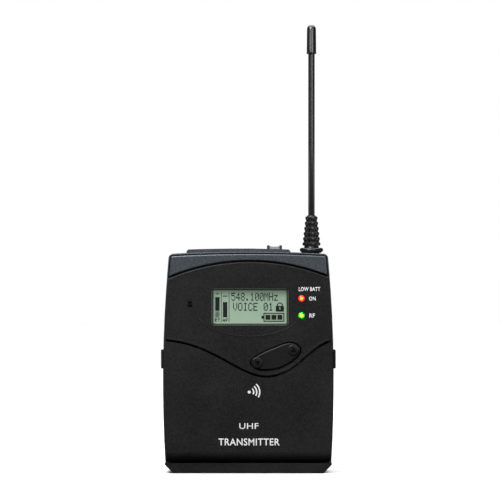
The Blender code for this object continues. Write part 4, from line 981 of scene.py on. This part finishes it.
# %% Lid gasket
shell_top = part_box("rear_shell")[1].z
outer, inner = 29.3 * MM, 28.4 * MM
corner = (-outer, -2.6 * MM, shell_top - 0.5 * MM)
gasket = block("lid_gasket", corner, (outer, BACK_Y - 0.35 * MM, shell_top + 0.8 * MM))
corner = (-inner, -5 * MM, shell_top - MM)
hole = block("hole", corner, (inner, BACK_Y - 1.2 * MM, shell_top + 2 * MM))
cut_with(gasket, hole)
round_edges(gasket, 0.1 * MM, 2)
dress(gasket, inner_plastic, "case")
print("gasket", len(gasket.data.polygons), "faces")

# %% [markdown]
# The springs of the cells and the pins are already as fine in the frame as they need to be, so
# they keep its shape and only take a new material.

# %% Parts that only need a finish
FINISHED = ("contact_spring_upper", "contact_spring_lower", "left_hinge_pin", "right_hinge_pin", "rocker_pin")
for node in FINISHED:
    for place in frame["nodes"][node].material_slots:
        place.material = plated_steel
print(len(FINISHED), "steel parts")

# %% [markdown]
# ## Catches
#
# The two catches on the sides are pinched to open the battery cover, so each has grooves across
# its outer face for a fingertip. One thin block is cut out at five heights. The spring behind
# a catch gets shorter when it is pressed, so it is blended from the cover to the catch.


# %% Finger grooves
def grooved_catch(node, side):
    """The catch on one side, with grooves across its outer face."""
    catch = from_frame(node, node + "_grooved")
    round_edges(catch, 0.4 * MM)
    low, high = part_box(node)
    outer = high.x if side > 0 else low.x
    across = sorted((outer - side * 0.28 * MM, outer + side * MM))
    for step in range(-2, 3):
        z = (low.z + high.z) / 2 + step * 1.05 * MM
        corner = (across[0], low.y + 1.2 * MM, z - 0.2 * MM)
        cut_with(catch, block("groove", corner, (across[1], high.y - 1.5 * MM, z + 0.2 * MM)))
    return dress(shade(catch), front_plastic, node, [node])


# %% Catches and their springs
for side, node in ((-1, "left_catch"), (1, "right_catch")):
    catch = grooved_catch(node, side)
    spring = shade(from_frame(node + "_spring", node + "_spring_coil"))
    dress(spring, plated_steel, None, [node + "_spring"])
    low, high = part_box(node + "_spring")
    middle = (low + high) / 2
    fixed_end = Vector(((low.x if side > 0 else high.x) + side * 0.2 * MM, middle.y, middle.z))
    free_end = Vector(((high.x if side > 0 else low.x) - side * 0.2 * MM, middle.y, middle.z))
    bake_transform(spring, "battery_cover", node, start=fixed_end, end=free_end)
print("catch", len(catch.data.polygons), "faces, spring", len(spring.data.polygons))

# %% [markdown]
# ## Display
#
# Behind the clear window lies a liquid-crystal cell. Its letters and symbols are made of small
# squares, so each is a grid plane from which the unlit faces are deleted. The lit ones are inset
# one by one and raised; in the two lines of words they are outset, so that they run together and
# read as solid strokes. The bars are thin blocks in the same ink.

# %% Dot letters
LETTERS = {
    "5": "11111 10000 11110 00001 00001 10001 01110",
    "4": "00010 00110 01010 10010 11111 00010 00010",
    "8": "01110 10001 10001 01110 10001 10001 01110",
    "1": "00100 01100 00100 00100 00100 00100 01110",
    "0": "01110 10001 10011 10101 11001 10001 01110",
    ".": "00000 00000 00000 00000 00000 01100 01100",
    "M": "10001 11011 10101 10101 10001 10001 10001",
    "H": "10001 10001 10001 11111 10001 10001 10001",
    "z": "00000 00000 11111 00010 00100 01000 11111",
    "V": "10001 10001 10001 10001 10001 01010 00100",
    "O": "01110 10001 10001 10001 10001 10001 01110",
    "I": "01110 00100 00100 00100 00100 00100 01110",
    "C": "01110 10001 10000 10000 10000 10001 01110",
    "E": "11111 10000 10000 11110 10000 10000 11111",
    " ": "00000 00000 00000 00000 00000 00000 00000",
}
GLYPH_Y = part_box("display_glass")[0].y - 0.03 * MM


def dot_rows(words):
    """Rows of 0 and 1, top first, with one empty column between letters."""
    rows = [""] * 7
    for letter in words:
        for row, dots in enumerate(LETTERS[letter].split()):
            rows[row] += dots + "0"
    return [row[:-1] for row in rows]


def dots(name, rows, low, high, gap=0.05):
    """Rows of dots that fill the space between two (x, z) corners. The gap between dots is a
    share of a dot; below nothing, the dots grow into one another."""
    across, down = len(rows[0]), len(rows)
    wide, tall = high[0] - low[0], high[1] - low[1]
    piece = added(name, "grid", x_subdivisions=across, y_subdivisions=down, size=1.0)
    mesh = bmesh.new()
    mesh.from_mesh(piece.data)
    unlit = []
    for face in mesh.faces:
        place = face.calc_center_median()
        if rows[int((0.5 - place.y) * down)][int((place.x + 0.5) * across)] == "0":
            unlit.append(face)
    bmesh.ops.delete(mesh, geom=unlit, context="FACES")
    mesh.to_mesh(piece.data)
    mesh.free()
    piece.dimensions = (wide, tall, 0)
    piece.rotation_euler = FACING_FRONT
    piece.location = ((low[0] + high[0]) / 2, GLYPH_Y, (low[1] + high[1]) / 2)
    settle(piece)
    edit(piece)
    bpy.ops.mesh.edge_split(type="EDGE")
    bpy.ops.mesh.select_all(action="SELECT")
    bpy.ops.mesh.inset(thickness=abs(gap) * wide / across / 2, use_individual=True, use_outset=gap < 0)
    if gap > 0:
        bpy.ops.mesh.select_all(action="INVERT")
        bpy.ops.mesh.delete(type="FACE")
    close()
    apply_modifier(piece, "SOLIDIFY", thickness=0.03 * MM, offset=0.0)
    return dress(piece, display_ink, "case")


# %% Display lines and symbols
window_low, window_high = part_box("display_window")


def on_display(x, z):
    """A place on the display, in mm from the window's lower left corner."""
    return (window_low.x + x * MM, window_low.z + z * MM)


PADLOCK = ["0011100", "0100010", "0100010", "1111111", "1110111", "1110111", "1111111", "1111111"]
EDGE_ROWS = ["00111111111111111111111", "00100000000000000000001", "00101111101111101111101"]
BATTERY = EDGE_ROWS + ["11101111101111101111101"] * 3 + EDGE_ROWS[::-1]
SYMBOLS = [
    # name, rows, lower left corner, upper right corner, gap
    ("display_frequency", dot_rows("548.100MHz"), (7.0, 8.75), (23.95, 11.7), -0.7),
    ("display_name", dot_rows("VOICE 01"), (7.6, 5.1), (22.2, 8.05), -0.7),
    ("display_padlock", PADLOCK, (23.2, 4.8), (26.2, 8.1), 0.05),
    ("display_battery", BATTERY, (18.0, 1.1), (26.35, 4.35), 0.02),
]
for name, rows, lower, upper, gap in SYMBOLS:
    dots(name, rows, on_display(*lower), on_display(*upper), gap)
print(len(SYMBOLS), "symbols")

# %% Display bars and their labels
BARS = [
    # name, lower left corner, upper right corner
    ("display_level_full", (1.1, 5.1), (2.7, 10.1)),
    *[(f"display_level_step_{i}", (1.1, 2.7 + 0.46 * i), (2.7, 2.7 + 0.46 * i + 0.28)) for i in range(5)],
    ("display_audio_full", (3.9, 2.7), (5.5, 8.3)),
    ("display_rule_left", (3.2, 0.9), (3.4, 11.8)),
    ("display_rule_right", (6.05, 0.9), (6.25, 11.8)),
    ("display_peak_tick", (1.5, 11.1), (2.3, 11.5)),
    ("display_peak_dash", (3.9, 10.3), (5.5, 10.6)),
]
LABELS = [
    # name, rows, lower left corner, upper right corner
    ("display_label_left", ["1110111", "1010010", "1100010", "1010010"], (1.0, 1.1), (2.8, 2.3)),
    ("display_label_right", ["0100111", "1010100", "1110110", "1010100"], (3.8, 1.1), (5.7, 2.3)),
]
for name, lower, upper in BARS:
    (x0, z0), (x1, z1) = on_display(*lower), on_display(*upper)
    piece = block(name, (x0, GLYPH_Y - 0.015 * MM, z0), (x1, GLYPH_Y + 0.015 * MM, z1))
    round_edges(piece, 0.008 * MM, 1)
    dress(piece, display_ink, "case")
for name, rows, lower, upper in LABELS:
    dots(name, rows, on_display(*lower), on_display(*upper))
print(len(BARS), "bars,", len(LABELS), "labels")

# %% [markdown]
# The window's clear sheet is printed black round its rim from behind, which hides the gap to
# the display. The rim is a plane whose middle is inset and then deleted.

# %% Window border
border = added("window_border_print", "plane", size=1.0)
border.dimensions = (window_high.x - window_low.x, window_high.z - window_low.z, 0)
border.rotation_euler = FACING_FRONT
sheet = middle_of("display_window")
border.location = (sheet.x, window_high.y + 0.05 * MM, sheet.z)
settle(border)
edit(border)
bpy.ops.mesh.inset(thickness=0.45 * MM)
bpy.ops.mesh.delete(type="FACE")
close()
apply_modifier(border, "SOLIDIFY", thickness=0.04 * MM, offset=0.0)
dress(border, frame_ink, "case")
print("border", len(border.data.polygons), "faces")

# %% [markdown]
# ## Status lights and buttons
#
# These are turned shapes: a light is a clear pin with a domed end, a button is a cap with a
# dished face. Each profile is drawn as distances from its axis and spun round it.

# %% Light lenses
def arc(radius, height, wide, tall, angles):
    """Profile points on a quarter of an ellipse about (radius, height)."""
    turns = [math.radians(degrees) for degrees in angles]
    return [(radius + wide * math.cos(turn), height + tall * math.sin(turn)) for turn in turns]


for color, material in (("red", red_glow), ("green", green_glow)):
    node = color + "_light_lens"
    low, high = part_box(node)
    middle = (low + high) / 2
    radius = (high.x - low.x) / 2
    shoulder = high.y - low.y - 0.45 * MM
    profile = [(0, 0), (0.9 * radius, 0), (radius, 0.1 * MM), (radius, shoulder)]
    profile += arc(0, shoulder, radius, 0.45 * MM, (20, 40, 60, 75, 90))
    lens = turned(node + "_domed", profile, (middle.x, high.y, middle.z), (0, -1, 0))
    dress(lens, material, "case", [node])
print("lens", len(lens.data.polygons), "faces")

# %% Hidden buttons
for node in ("set_button", "power_button"):
    low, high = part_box(node)
    middle = (low + high) / 2
    flange = (high.x - low.x) / 2
    cap = flange - 0.4 * MM
    deep = high.y - low.y
    profile = [(0, 0), (flange, 0), (flange, 0.35 * MM), (cap, 0.4 * MM), (cap, deep - 0.3 * MM)]
    profile += [(cap - 0.1 * MM, deep - 0.08 * MM), (cap - 0.35 * MM, deep), (0.6 * cap, deep - 0.12 * MM)]
    profile += [(0.3 * cap, deep - 0.2 * MM), (0, deep - 0.22 * MM)]
    button = turned(node + "_cap", profile, (middle.x, high.y, middle.z), (0, -1, 0))
    dress(button, key_plastic, node, [node])
print("button", len(button.data.polygons), "faces")

# %% [markdown]
# ## Rocker key
#
# The rocker tilts to step through the menu. A fingertip finds its two ends by a low round boss
# on each, with a moulded arrow. The key's face is first moved back a little to make room for
# them, then each boss is turned and stands on the face, and the arrow lies on the boss.

# %% Rocker face
ROCKER_SLOPE = math.radians(19.2)
BOSS_RADIUS = 2.1 * MM
BOSS_RISE = 0.34 * MM
rocker = from_frame("rocker_key", "rocker_key_moulded")
rocker_middle = middle_of("rocker_key")
face_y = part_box("rocker_key")[0].y
edit(rocker)
bpy.ops.mesh.select_all(action="DESELECT")
mesh = bmesh.from_edit_mesh(rocker.data)
for vertex in mesh.verts:
    vertex.select = vertex.co.y < face_y + 0.01 * MM
mesh.select_flush_mode()
bmesh.update_edit_mesh(rocker.data)
bpy.ops.transform.translate(value=(0, BOSS_RISE, 0))
close()
round_front(rocker, 0.5 * MM, 5)
round_edges(rocker, 0.15 * MM)
print("rocker", len(rocker.data.polygons), "faces")

# %% Rocker bosses and arrows
BOSS_REACH = {-1: 7.2 * MM, 1: 6.7 * MM}
BOSS_PROFILE = [
    # shares of the boss's radius and rise
    *[(0, -0.5), (1.0, -0.5), (1.0, 0.0), (0.985, 0.3), (0.94, 0.56)],
    *[(0.86, 0.78), (0.76, 0.9), (0.6, 0.93), (0.3, 0.9), (0, 0.88)],
]
bosses = []
for side, name in ((-1, "rocker_arrow_down"), (1, "rocker_arrow_up")):
    x = rocker_middle.x + side * BOSS_REACH[side] * math.cos(ROCKER_SLOPE)
    z = rocker_middle.z + side * BOSS_REACH[side] * math.sin(ROCKER_SLOPE)
    profile = [(r * BOSS_RADIUS, h * BOSS_RISE) for r, h in BOSS_PROFILE]
    bosses.append(turned("boss", profile, (x, face_y + BOSS_RISE, z), (0, -1, 0)))
    arrow = added(name, "circle", vertices=3, radius=1.2 * MM, fill_type="NGON")
    arrow.rotation_euler = (math.radians(90), 0 if side > 0 else math.radians(180), 0)
    arrow.scale = (1.0, 0.9, 1.0)
    arrow.location = (x + 0.2 * MM, face_y + 0.016 * MM, z - side * 0.1 * MM)
    settle(arrow)
    apply_modifier(arrow, "SOLIDIFY", thickness=0.03 * MM, offset=0.0)
    round_edges(arrow, 0.008 * MM, 1)
    dress(arrow, arrow_ink, "rocker_key")
join_all(rocker, bosses)
dress(rocker, key_plastic, "rocker_key", ["rocker_key"])
print("with bosses", len(rocker.data.polygons), "faces")

# %% [markdown]
# ## Audio jack collar
#
# A nickel nut holds the jack. Its rim is coined with fine teeth for the fitter's tool. The ring
# is spun from its cross-section, then every second strip of its outer wall is pushed inwards.

# %% Jack collar
low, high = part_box("jack_collar")
middle = (low + high) / 2
rim = (high.x - low.x) / 2
deep = high.z - low.z
knurl_start = 0.45 * deep
bore = 3.05 * MM
profile = [(bore, 0), (rim, 0), (rim, knurl_start), (rim, deep - 0.3 * MM), (rim - 0.3 * MM, deep)]
profile += [(bore + 0.6 * MM, deep), (bore + 0.35 * MM, deep - 0.25 * MM), (bore, deep - 0.4 * MM), (bore, 0)]
TEETH = 96
collar = turned("jack_collar_coined", profile, (middle.x, middle.y, low.z), (0, 0, 1), TEETH)
edit(collar)
mesh = bmesh.from_edit_mesh(collar.data)
for face in mesh.faces:
    place = face.calc_center_median() - Vector((middle.x, middle.y, low.z))
    strip = math.floor(math.degrees(math.atan2(place.y, place.x)) * TEETH / 360)
    outer_wall = place.xy.length > rim - 0.05 * MM and abs(face.normal.z) < 0.1
    face.select = outer_wall and place.z > knurl_start and strip % 2 == 0
bmesh.update_edit_mesh(collar.data)
bpy.ops.mesh.inset(thickness=0.04 * MM, depth=-0.12 * MM, use_individual=True)
close()
dress(collar, collar_nickel, "case", ["jack_collar"])
print("collar", len(collar.data.polygons), "faces")

# %% [markdown]
# ## Antenna
#
# The whip is a wire in a rubber sleeve. It leaves the case through a flange and a bellows boot
# that bends with it. The boot's rings are separate discs on a core, held apart by four small
# bridges in each gap, so it flexes without kinking. The boot crosses the joint, so it is blended
# between the case and the antenna.

# %% Antenna base
low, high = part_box("antenna_base")
antenna_x, antenna_y = middle_of("antenna_base").xy
NECK = 2.95 * MM
ROLL = 0.8 * MM
rim = (high.x - low.x) / 2 - ROLL
top = high.z - low.z
profile = [(0, 0), (NECK, 0), (NECK, top - 1.9 * MM), (rim, top - 1.85 * MM)]
profile += arc(rim, top - ROLL, ROLL, ROLL, range(-75, 91, 15))
profile += [(2.75 * MM, top), (2.62 * MM, top + 0.5 * MM), (0, top + 0.5 * MM)]
base = turned("antenna_base_flange", profile, (antenna_x, antenna_y, low.z), (0, 0, 1))
dress(base, antenna_rubber, "case", ["antenna_base"])
print("base", len(base.data.polygons), "faces")

# %% Boot rings
RINGS = 6
RING_THICK = 1.22 * MM
RING_EDGE = 0.34 * MM
RING_SOLID = 0.02 * MM
RING_PITCH = 1.9 * MM
FIRST_RING = 0.48 * MM
LAST_RADIUS = 2.25 * MM
low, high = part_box("antenna_boot")
boot_radius = (high.x - low.x) / 2
top = high.z - low.z
profile = [(0, 0), (boot_radius - 0.7 * MM, 0), (boot_radius - 0.62 * MM, FIRST_RING)]
bridges = []
for ring in range(RINGS):
    radius = boot_radius - (boot_radius - LAST_RADIUS) * ring / (RINGS - 1)
    start = FIRST_RING + ring * RING_PITCH
    ring_top = start + RING_THICK
    profile += arc(radius - RING_EDGE, start + RING_EDGE, RING_EDGE, RING_EDGE, (-90, -60, -30))
    profile += arc(radius - RING_EDGE, start + RING_THICK / 2, RING_EDGE, RING_EDGE, (0,))
    profile += arc(radius - RING_EDGE, ring_top - RING_EDGE, RING_EDGE, RING_EDGE, (30, 60, 90))
    if ring < RINGS - 1:
        core = radius - 1.1 * MM
        profile += [(core, ring_top + RING_SOLID), (core, start + RING_PITCH - RING_SOLID)]
        bridges.append((core, radius - 0.45 * MM, low.z + ring_top, low.z + start + RING_PITCH))
profile += [(1.75 * MM, ring_top + RING_SOLID), (1.6 * MM, top - 0.12 * MM), (1.3 * MM, top), (0, top)]
boot = turned("antenna_boot_bellows", profile, (antenna_x, antenna_y, low.z), (0, 0, 1))
print("boot", len(boot.data.polygons), "faces")

# %% Boot bridges
BRIDGE_HALF = 0.6 * MM
BURIED = 0.1 * MM
posts = []
for inner, outer, start, end in bridges:
    for quarter in range(4):
        corner = (-BRIDGE_HALF, inner - BURIED, start - BURIED)
        post = block("bridge", corner, (BRIDGE_HALF, outer, end + BURIED))
        post.rotation_euler = (0, 0, math.radians(90 * quarter))
        post.location = (antenna_x, antenna_y, 0)
        posts.append(settle(post))
join_all(boot, posts)
dress(boot, antenna_rubber, None, ["antenna_boot"])
bend_start = Vector((antenna_x, antenna_y, low.z + 0.9 * MM))
bend_end = Vector((antenna_x, antenna_y, high.z - 0.2 * MM))
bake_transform(boot, "case", "antenna", start=bend_start, end=bend_end)
print(len(posts), "bridges")

# %% Antenna rod and tip
CROWN = 1.55 * MM
low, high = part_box("antenna_rod")
radius = (high.x - low.x) / 2
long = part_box("antenna_tip")[0].z + 1.6 * MM - low.z
profile = [(0, 0), (0.85 * radius, 0), (radius, 0.3 * MM), (radius, 0.5 * long), (radius, long), (0, long)]
rod = turned("antenna_rod_sleeve", profile, (antenna_x, antenna_y, low.z), (0, 0, 1), 32)
dress(rod, rod_sleeve, "antenna", ["antenna_rod"])

low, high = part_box("antenna_tip")
radius = (high.x - low.x) / 2
start = 0.9 * MM
shoulder = high.z - low.z - CROWN
profile = [(0, start), (0.96 * radius, start), (radius, start + 0.12 * MM), (radius, start + 0.7 * MM)]
profile.append((0.97 * radius, start + 1.0 * MM))
for degrees in (0, 20, 40, 60, 78, 90):
    turn = math.radians(degrees)
    profile.append((0.93 * radius * math.cos(turn) ** 0.8, shoulder + CROWN * math.sin(turn)))
tip = turned("antenna_tip_cap", profile, (antenna_x, antenna_y, low.z), (0, 0, 1), 40)
dress(tip, rod_sleeve, "antenna", ["antenna_tip"])
print("rod and tip", len(rod.data.polygons) + len(tip.data.polygons), "faces")

# %% [markdown]
# ## Back: belt clip, screws and charging pads
#
# The clip is one bent wire. Its route is a curve with a round bevel, made a mesh at once. The
# case screws have pan heads with a cross recess, cut by two crossed blocks; one is modelled and
# copied to the four posts.

# %% Belt clip route
WIRE = 1.2 * MM
TURN_IN = 2.4 * MM
FOOT_TURN = 5 * MM
low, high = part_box("belt_clip")
pivot_y, pivot_z = low.y + WIRE, high.z - WIRE
half = high.x - 5.8 * MM
run_y = high.y - 1.6 * MM
bottom = low.z + WIRE
side_route = [(high.x, pivot_y, pivot_z), (half + TURN_IN, pivot_y, pivot_z)]
for degrees in (15, 30, 45, 60, 75, 90):
    turn = math.radians(degrees)
    x, z = half + TURN_IN * (1 - math.sin(turn)), pivot_z - TURN_IN * (1 - math.cos(turn))
    side_route.append((x, pivot_y + 0.4 * MM * degrees / 90, z))
for drop, back in ((4.7, 2.0), (7.0, 0.3), (8.6, 0.05), (10.0, 0.0)):
    side_route.append((half, run_y - back * MM, pivot_z - drop * MM))
side_route += [(half, run_y, bottom + 14 * MM), (half, run_y - 0.5 * MM, bottom + 12 * MM)]
side_route.append((half, run_y - 1.2 * MM, bottom + 2 * FOOT_TURN))
for degrees in range(9, 91, 9):
    turn = math.radians(degrees)
    x, z = half - FOOT_TURN * (1 - math.cos(turn)), bottom + FOOT_TURN * (1 - math.sin(turn))
    side_route.append((x, run_y - 1.2 * MM + 1.6 * MM * math.sin(turn), z))
route = side_route + [(-x, y, z) for x, y, z in reversed(side_route)]
print(len(route), "points on the route")

# %% Belt clip wire
clip = wire_piece("belt_clip_wire", route, bevel_depth=WIRE, bevel_resolution=5, use_fill_caps=True)
dress(smooth(clip, 40), black_steel, "belt_clip", ["belt_clip"])
print("clip", len(clip.data.polygons), "faces")

# %% Screws
SCREW_LENGTH = 8.9
HEAD = [
    # share of the head's radius, distance from the screw's tip in mm
    *[(0, 0), (0.45, 0), (0.5, 0.3), (0.5, 7.9), (0.94, 8.0)],
    *[(1.0, 8.1), (1.0, 8.45), (0.9, 8.75), (0.6, 8.88), (0, SCREW_LENGTH)],
]
low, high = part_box("case_screw_1")
head_radius = (high.x - low.x) / 2
profile = [(share * head_radius, along * MM) for share, along in HEAD]
first_screw = turned("case_screw_driven_1", profile, (0, high.y - SCREW_LENGTH * MM, 0), (0, 1, 0), 40)
for wide, tall in ((1.1, 0.27), (0.27, 1.1)):
    corner = Vector((wide * MM, 0, tall * MM))
    start, end = Vector((0, high.y - 0.55 * MM, 0)), Vector((0, high.y + MM, 0))
    cut_with(first_screw, block("recess", start - corner, end + corner))
shade(first_screw)
for number in (4, 3, 2, 1):
    middle = middle_of(f"case_screw_{number}")
    screw = first_screw
    if number > 1:
        screw = copy_of(first_screw, f"case_screw_driven_{number}", (middle.x, 0, middle.z))
    else:
        screw.location = (middle.x, 0, middle.z)
    dress(screw, black_steel, "case", [f"case_screw_{number}"])
print("screw", len(first_screw.data.polygons), "faces")

# %% [markdown]
# The two gilt pads are turned with a shallow dish, which is where a charger's pins settle.

# %% Charging pads
for number in (1, 2):
    low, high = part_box(f"charge_contact_{number}")
    middle = (low + high) / 2
    radius = (high.x - low.x) / 2
    deep = high.y - low.y
    profile = [(0, 0), (radius, 0), (radius, deep - 0.2 * MM), (radius - 0.06 * MM, deep - 0.06 * MM)]
    profile += [(radius - 0.2 * MM, deep), (0.6 * radius, deep - 0.03 * MM), (0.3 * radius, deep - 0.12 * MM)]
    profile += [(0, deep - 0.16 * MM)]
    pad = turned(f"charge_pad_{number}", profile, (middle.x, low.y, middle.z), (0, 1, 0))
    dress(pad, gold_flash, "case", [f"charge_contact_{number}"])
print("pad", len(pad.data.polygons), "faces")

# %% [markdown]
# ## Cells
#
# Each cell is a can with rolled shoulders, a raised nub and a printed sleeve. Its profile is spun
# upright and then laid along the X axis, the upper cell one way and the lower one the other.

# %% Cells
for place, nub, material in (("upper", 1, upper_sleeve), ("lower", -1, lower_sleeve)):
    node, name = "battery_" + place, "cell_" + place
    low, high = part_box(node)
    middle = (low + high) / 2
    radius = (high.z - low.z) / 2
    long = high.x - low.x
    can = long - 1.0 * MM
    flat_end = [(0, 0.15 * MM), (0.7, 0.15 * MM), (0.75, 0), (0.93, 0), (0.985, 0.15 * MM), (1, 0.5 * MM)]
    wall = [(1, 0.5 * can), (1, can - 0.6 * MM), (0.98, can - 0.2 * MM), (0.9, can)]
    nub_end = [(0.72, can - 0.25 * MM), (0.45, can - 0.2 * MM), (0.42, can)]
    nub_end += [(0.385, long - 0.2 * MM), (0.34, long), (0, long)]
    profile = [(share * radius, along) for share, along in flat_end + wall + nub_end]
    start, end = (low.x, high.x) if nub > 0 else (high.x, low.x)
    cell = turned(name, profile, (start, middle.y, middle.z), (nub, 0, 0), 64)
    dress(cell, material, "case", [node])
    front_y = low.y + 0.02 * MM
    label_at = (middle.x - nub * 6 * MM, front_y, middle.z)
    print_words(name + "_print", "AA  1.5 V", (15 * MM, 2.0 * MM), label_at, "case", white_ink)
    plus_at = (end - nub * 5.5 * MM, front_y, middle.z)
    print_words(name + "_plus", "+", (2.2 * MM, 2.2 * MM), plus_at, "case", frame_ink)
print("cell", len(cell.data.polygons), "faces")

# %% [markdown]
# ## Lettering
#
# The front carries plain words and one wireless sign: a dot with three arcs. An arc is a single
# edge spun through part of a turn, which leaves a strip of faces that is then given thickness.

# %% Words
PRINT_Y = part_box("front_panel")[0].y - 0.005 * MM
DECK_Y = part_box("set_button")[0].y + 1.25 * MM
PLATE_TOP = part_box("connector_plate")[1].z
red, green = middle_of("red_light_lens"), middle_of("green_light_lens")
set_at, power_at = middle_of("set_button"), middle_of("power_button")
WORDS = [
    # name, words, width and height in mm, middle, body, weight of the strokes
    ("low_battery", "LOW BATT", 7.8, 1.5, (red.x + 2.9 * MM, PRINT_Y, red.z + 3.45 * MM), "case", 0.018),
    ("on", "ON", 2.4, 1.5, (red.x + 3.95 * MM, PRINT_Y, red.z), "case", 0.022),
    ("rf", "RF", 2.0, 1.5, (green.x + 3.85 * MM, PRINT_Y, green.z), "case", 0.022),
    ("band", "UHF", 7.0, 2.1, (0.2 * MM, PRINT_Y, 17.3 * MM), "battery_cover", 0.004),
    ("kind", "TRANSMITTER", 22.3, 2.6, (0.25 * MM, PRINT_Y, 11.5 * MM), "battery_cover", 0.012),
    ("set", "SET", 2.6, 1.1, (set_at.x + 4.6 * MM, DECK_Y, set_at.z), "case", 0.0),
    ("power", "ON/OFF", 4.6, 1.0, (power_at.x, DECK_Y, power_at.z + 3.6 * MM), "case", 0.0),
]
for name, words, wide, tall, place, body, weight in WORDS:
    print_words("print_" + name, words, (wide * MM, tall * MM), place, body, white_ink, weight=weight)
for name, words, wide, x in (("print_mic", "MIC", 3.4, -5.6 * MM), ("print_mute", "MUTE", 4.2, 0.5 * MM)):
    print_words(name, words, (wide * MM, 1.3 * MM), (x, 0.5 * MM, PLATE_TOP), "case", grey_ink, FACING_UP)
print(len(WORDS) + 2, "words")

# %% Wireless sign
SIGN_AT = (0.35 * MM, PRINT_Y, 29.7 * MM)
HALF_SWEEP = 40
corner = Vector((math.cos(math.radians(90 - HALF_SWEEP)), math.sin(math.radians(90 - HALF_SWEEP)), 0))
strips = []
for radius in (1.35 * MM, 2.45 * MM, 3.55 * MM):
    strip = point_piece("wireless_arc", corner * radius)
    bpy.ops.mesh.extrude_region_move(TRANSFORM_OT_translate={"value": corner * 0.5 * MM})
    bpy.ops.mesh.select_all(action="SELECT")
    bpy.ops.mesh.spin(steps=20, angle=math.radians(2 * HALF_SWEEP), **UPRIGHT)
    close()
    strips.append(strip)
sign = added("print_wireless_sign", "circle", vertices=32, radius=0.55 * MM, fill_type="NGON")
join_all(sign, strips)
sign.rotation_euler = FACING_FRONT
sign.location = SIGN_AT
settle(sign)
apply_modifier(sign, "SOLIDIFY", thickness=PRINT_THICK, offset=0.0)
face_outwards(sign)
dress(sign, white_ink, "battery_cover")
print("sign", len(sign.data.polygons), "faces")
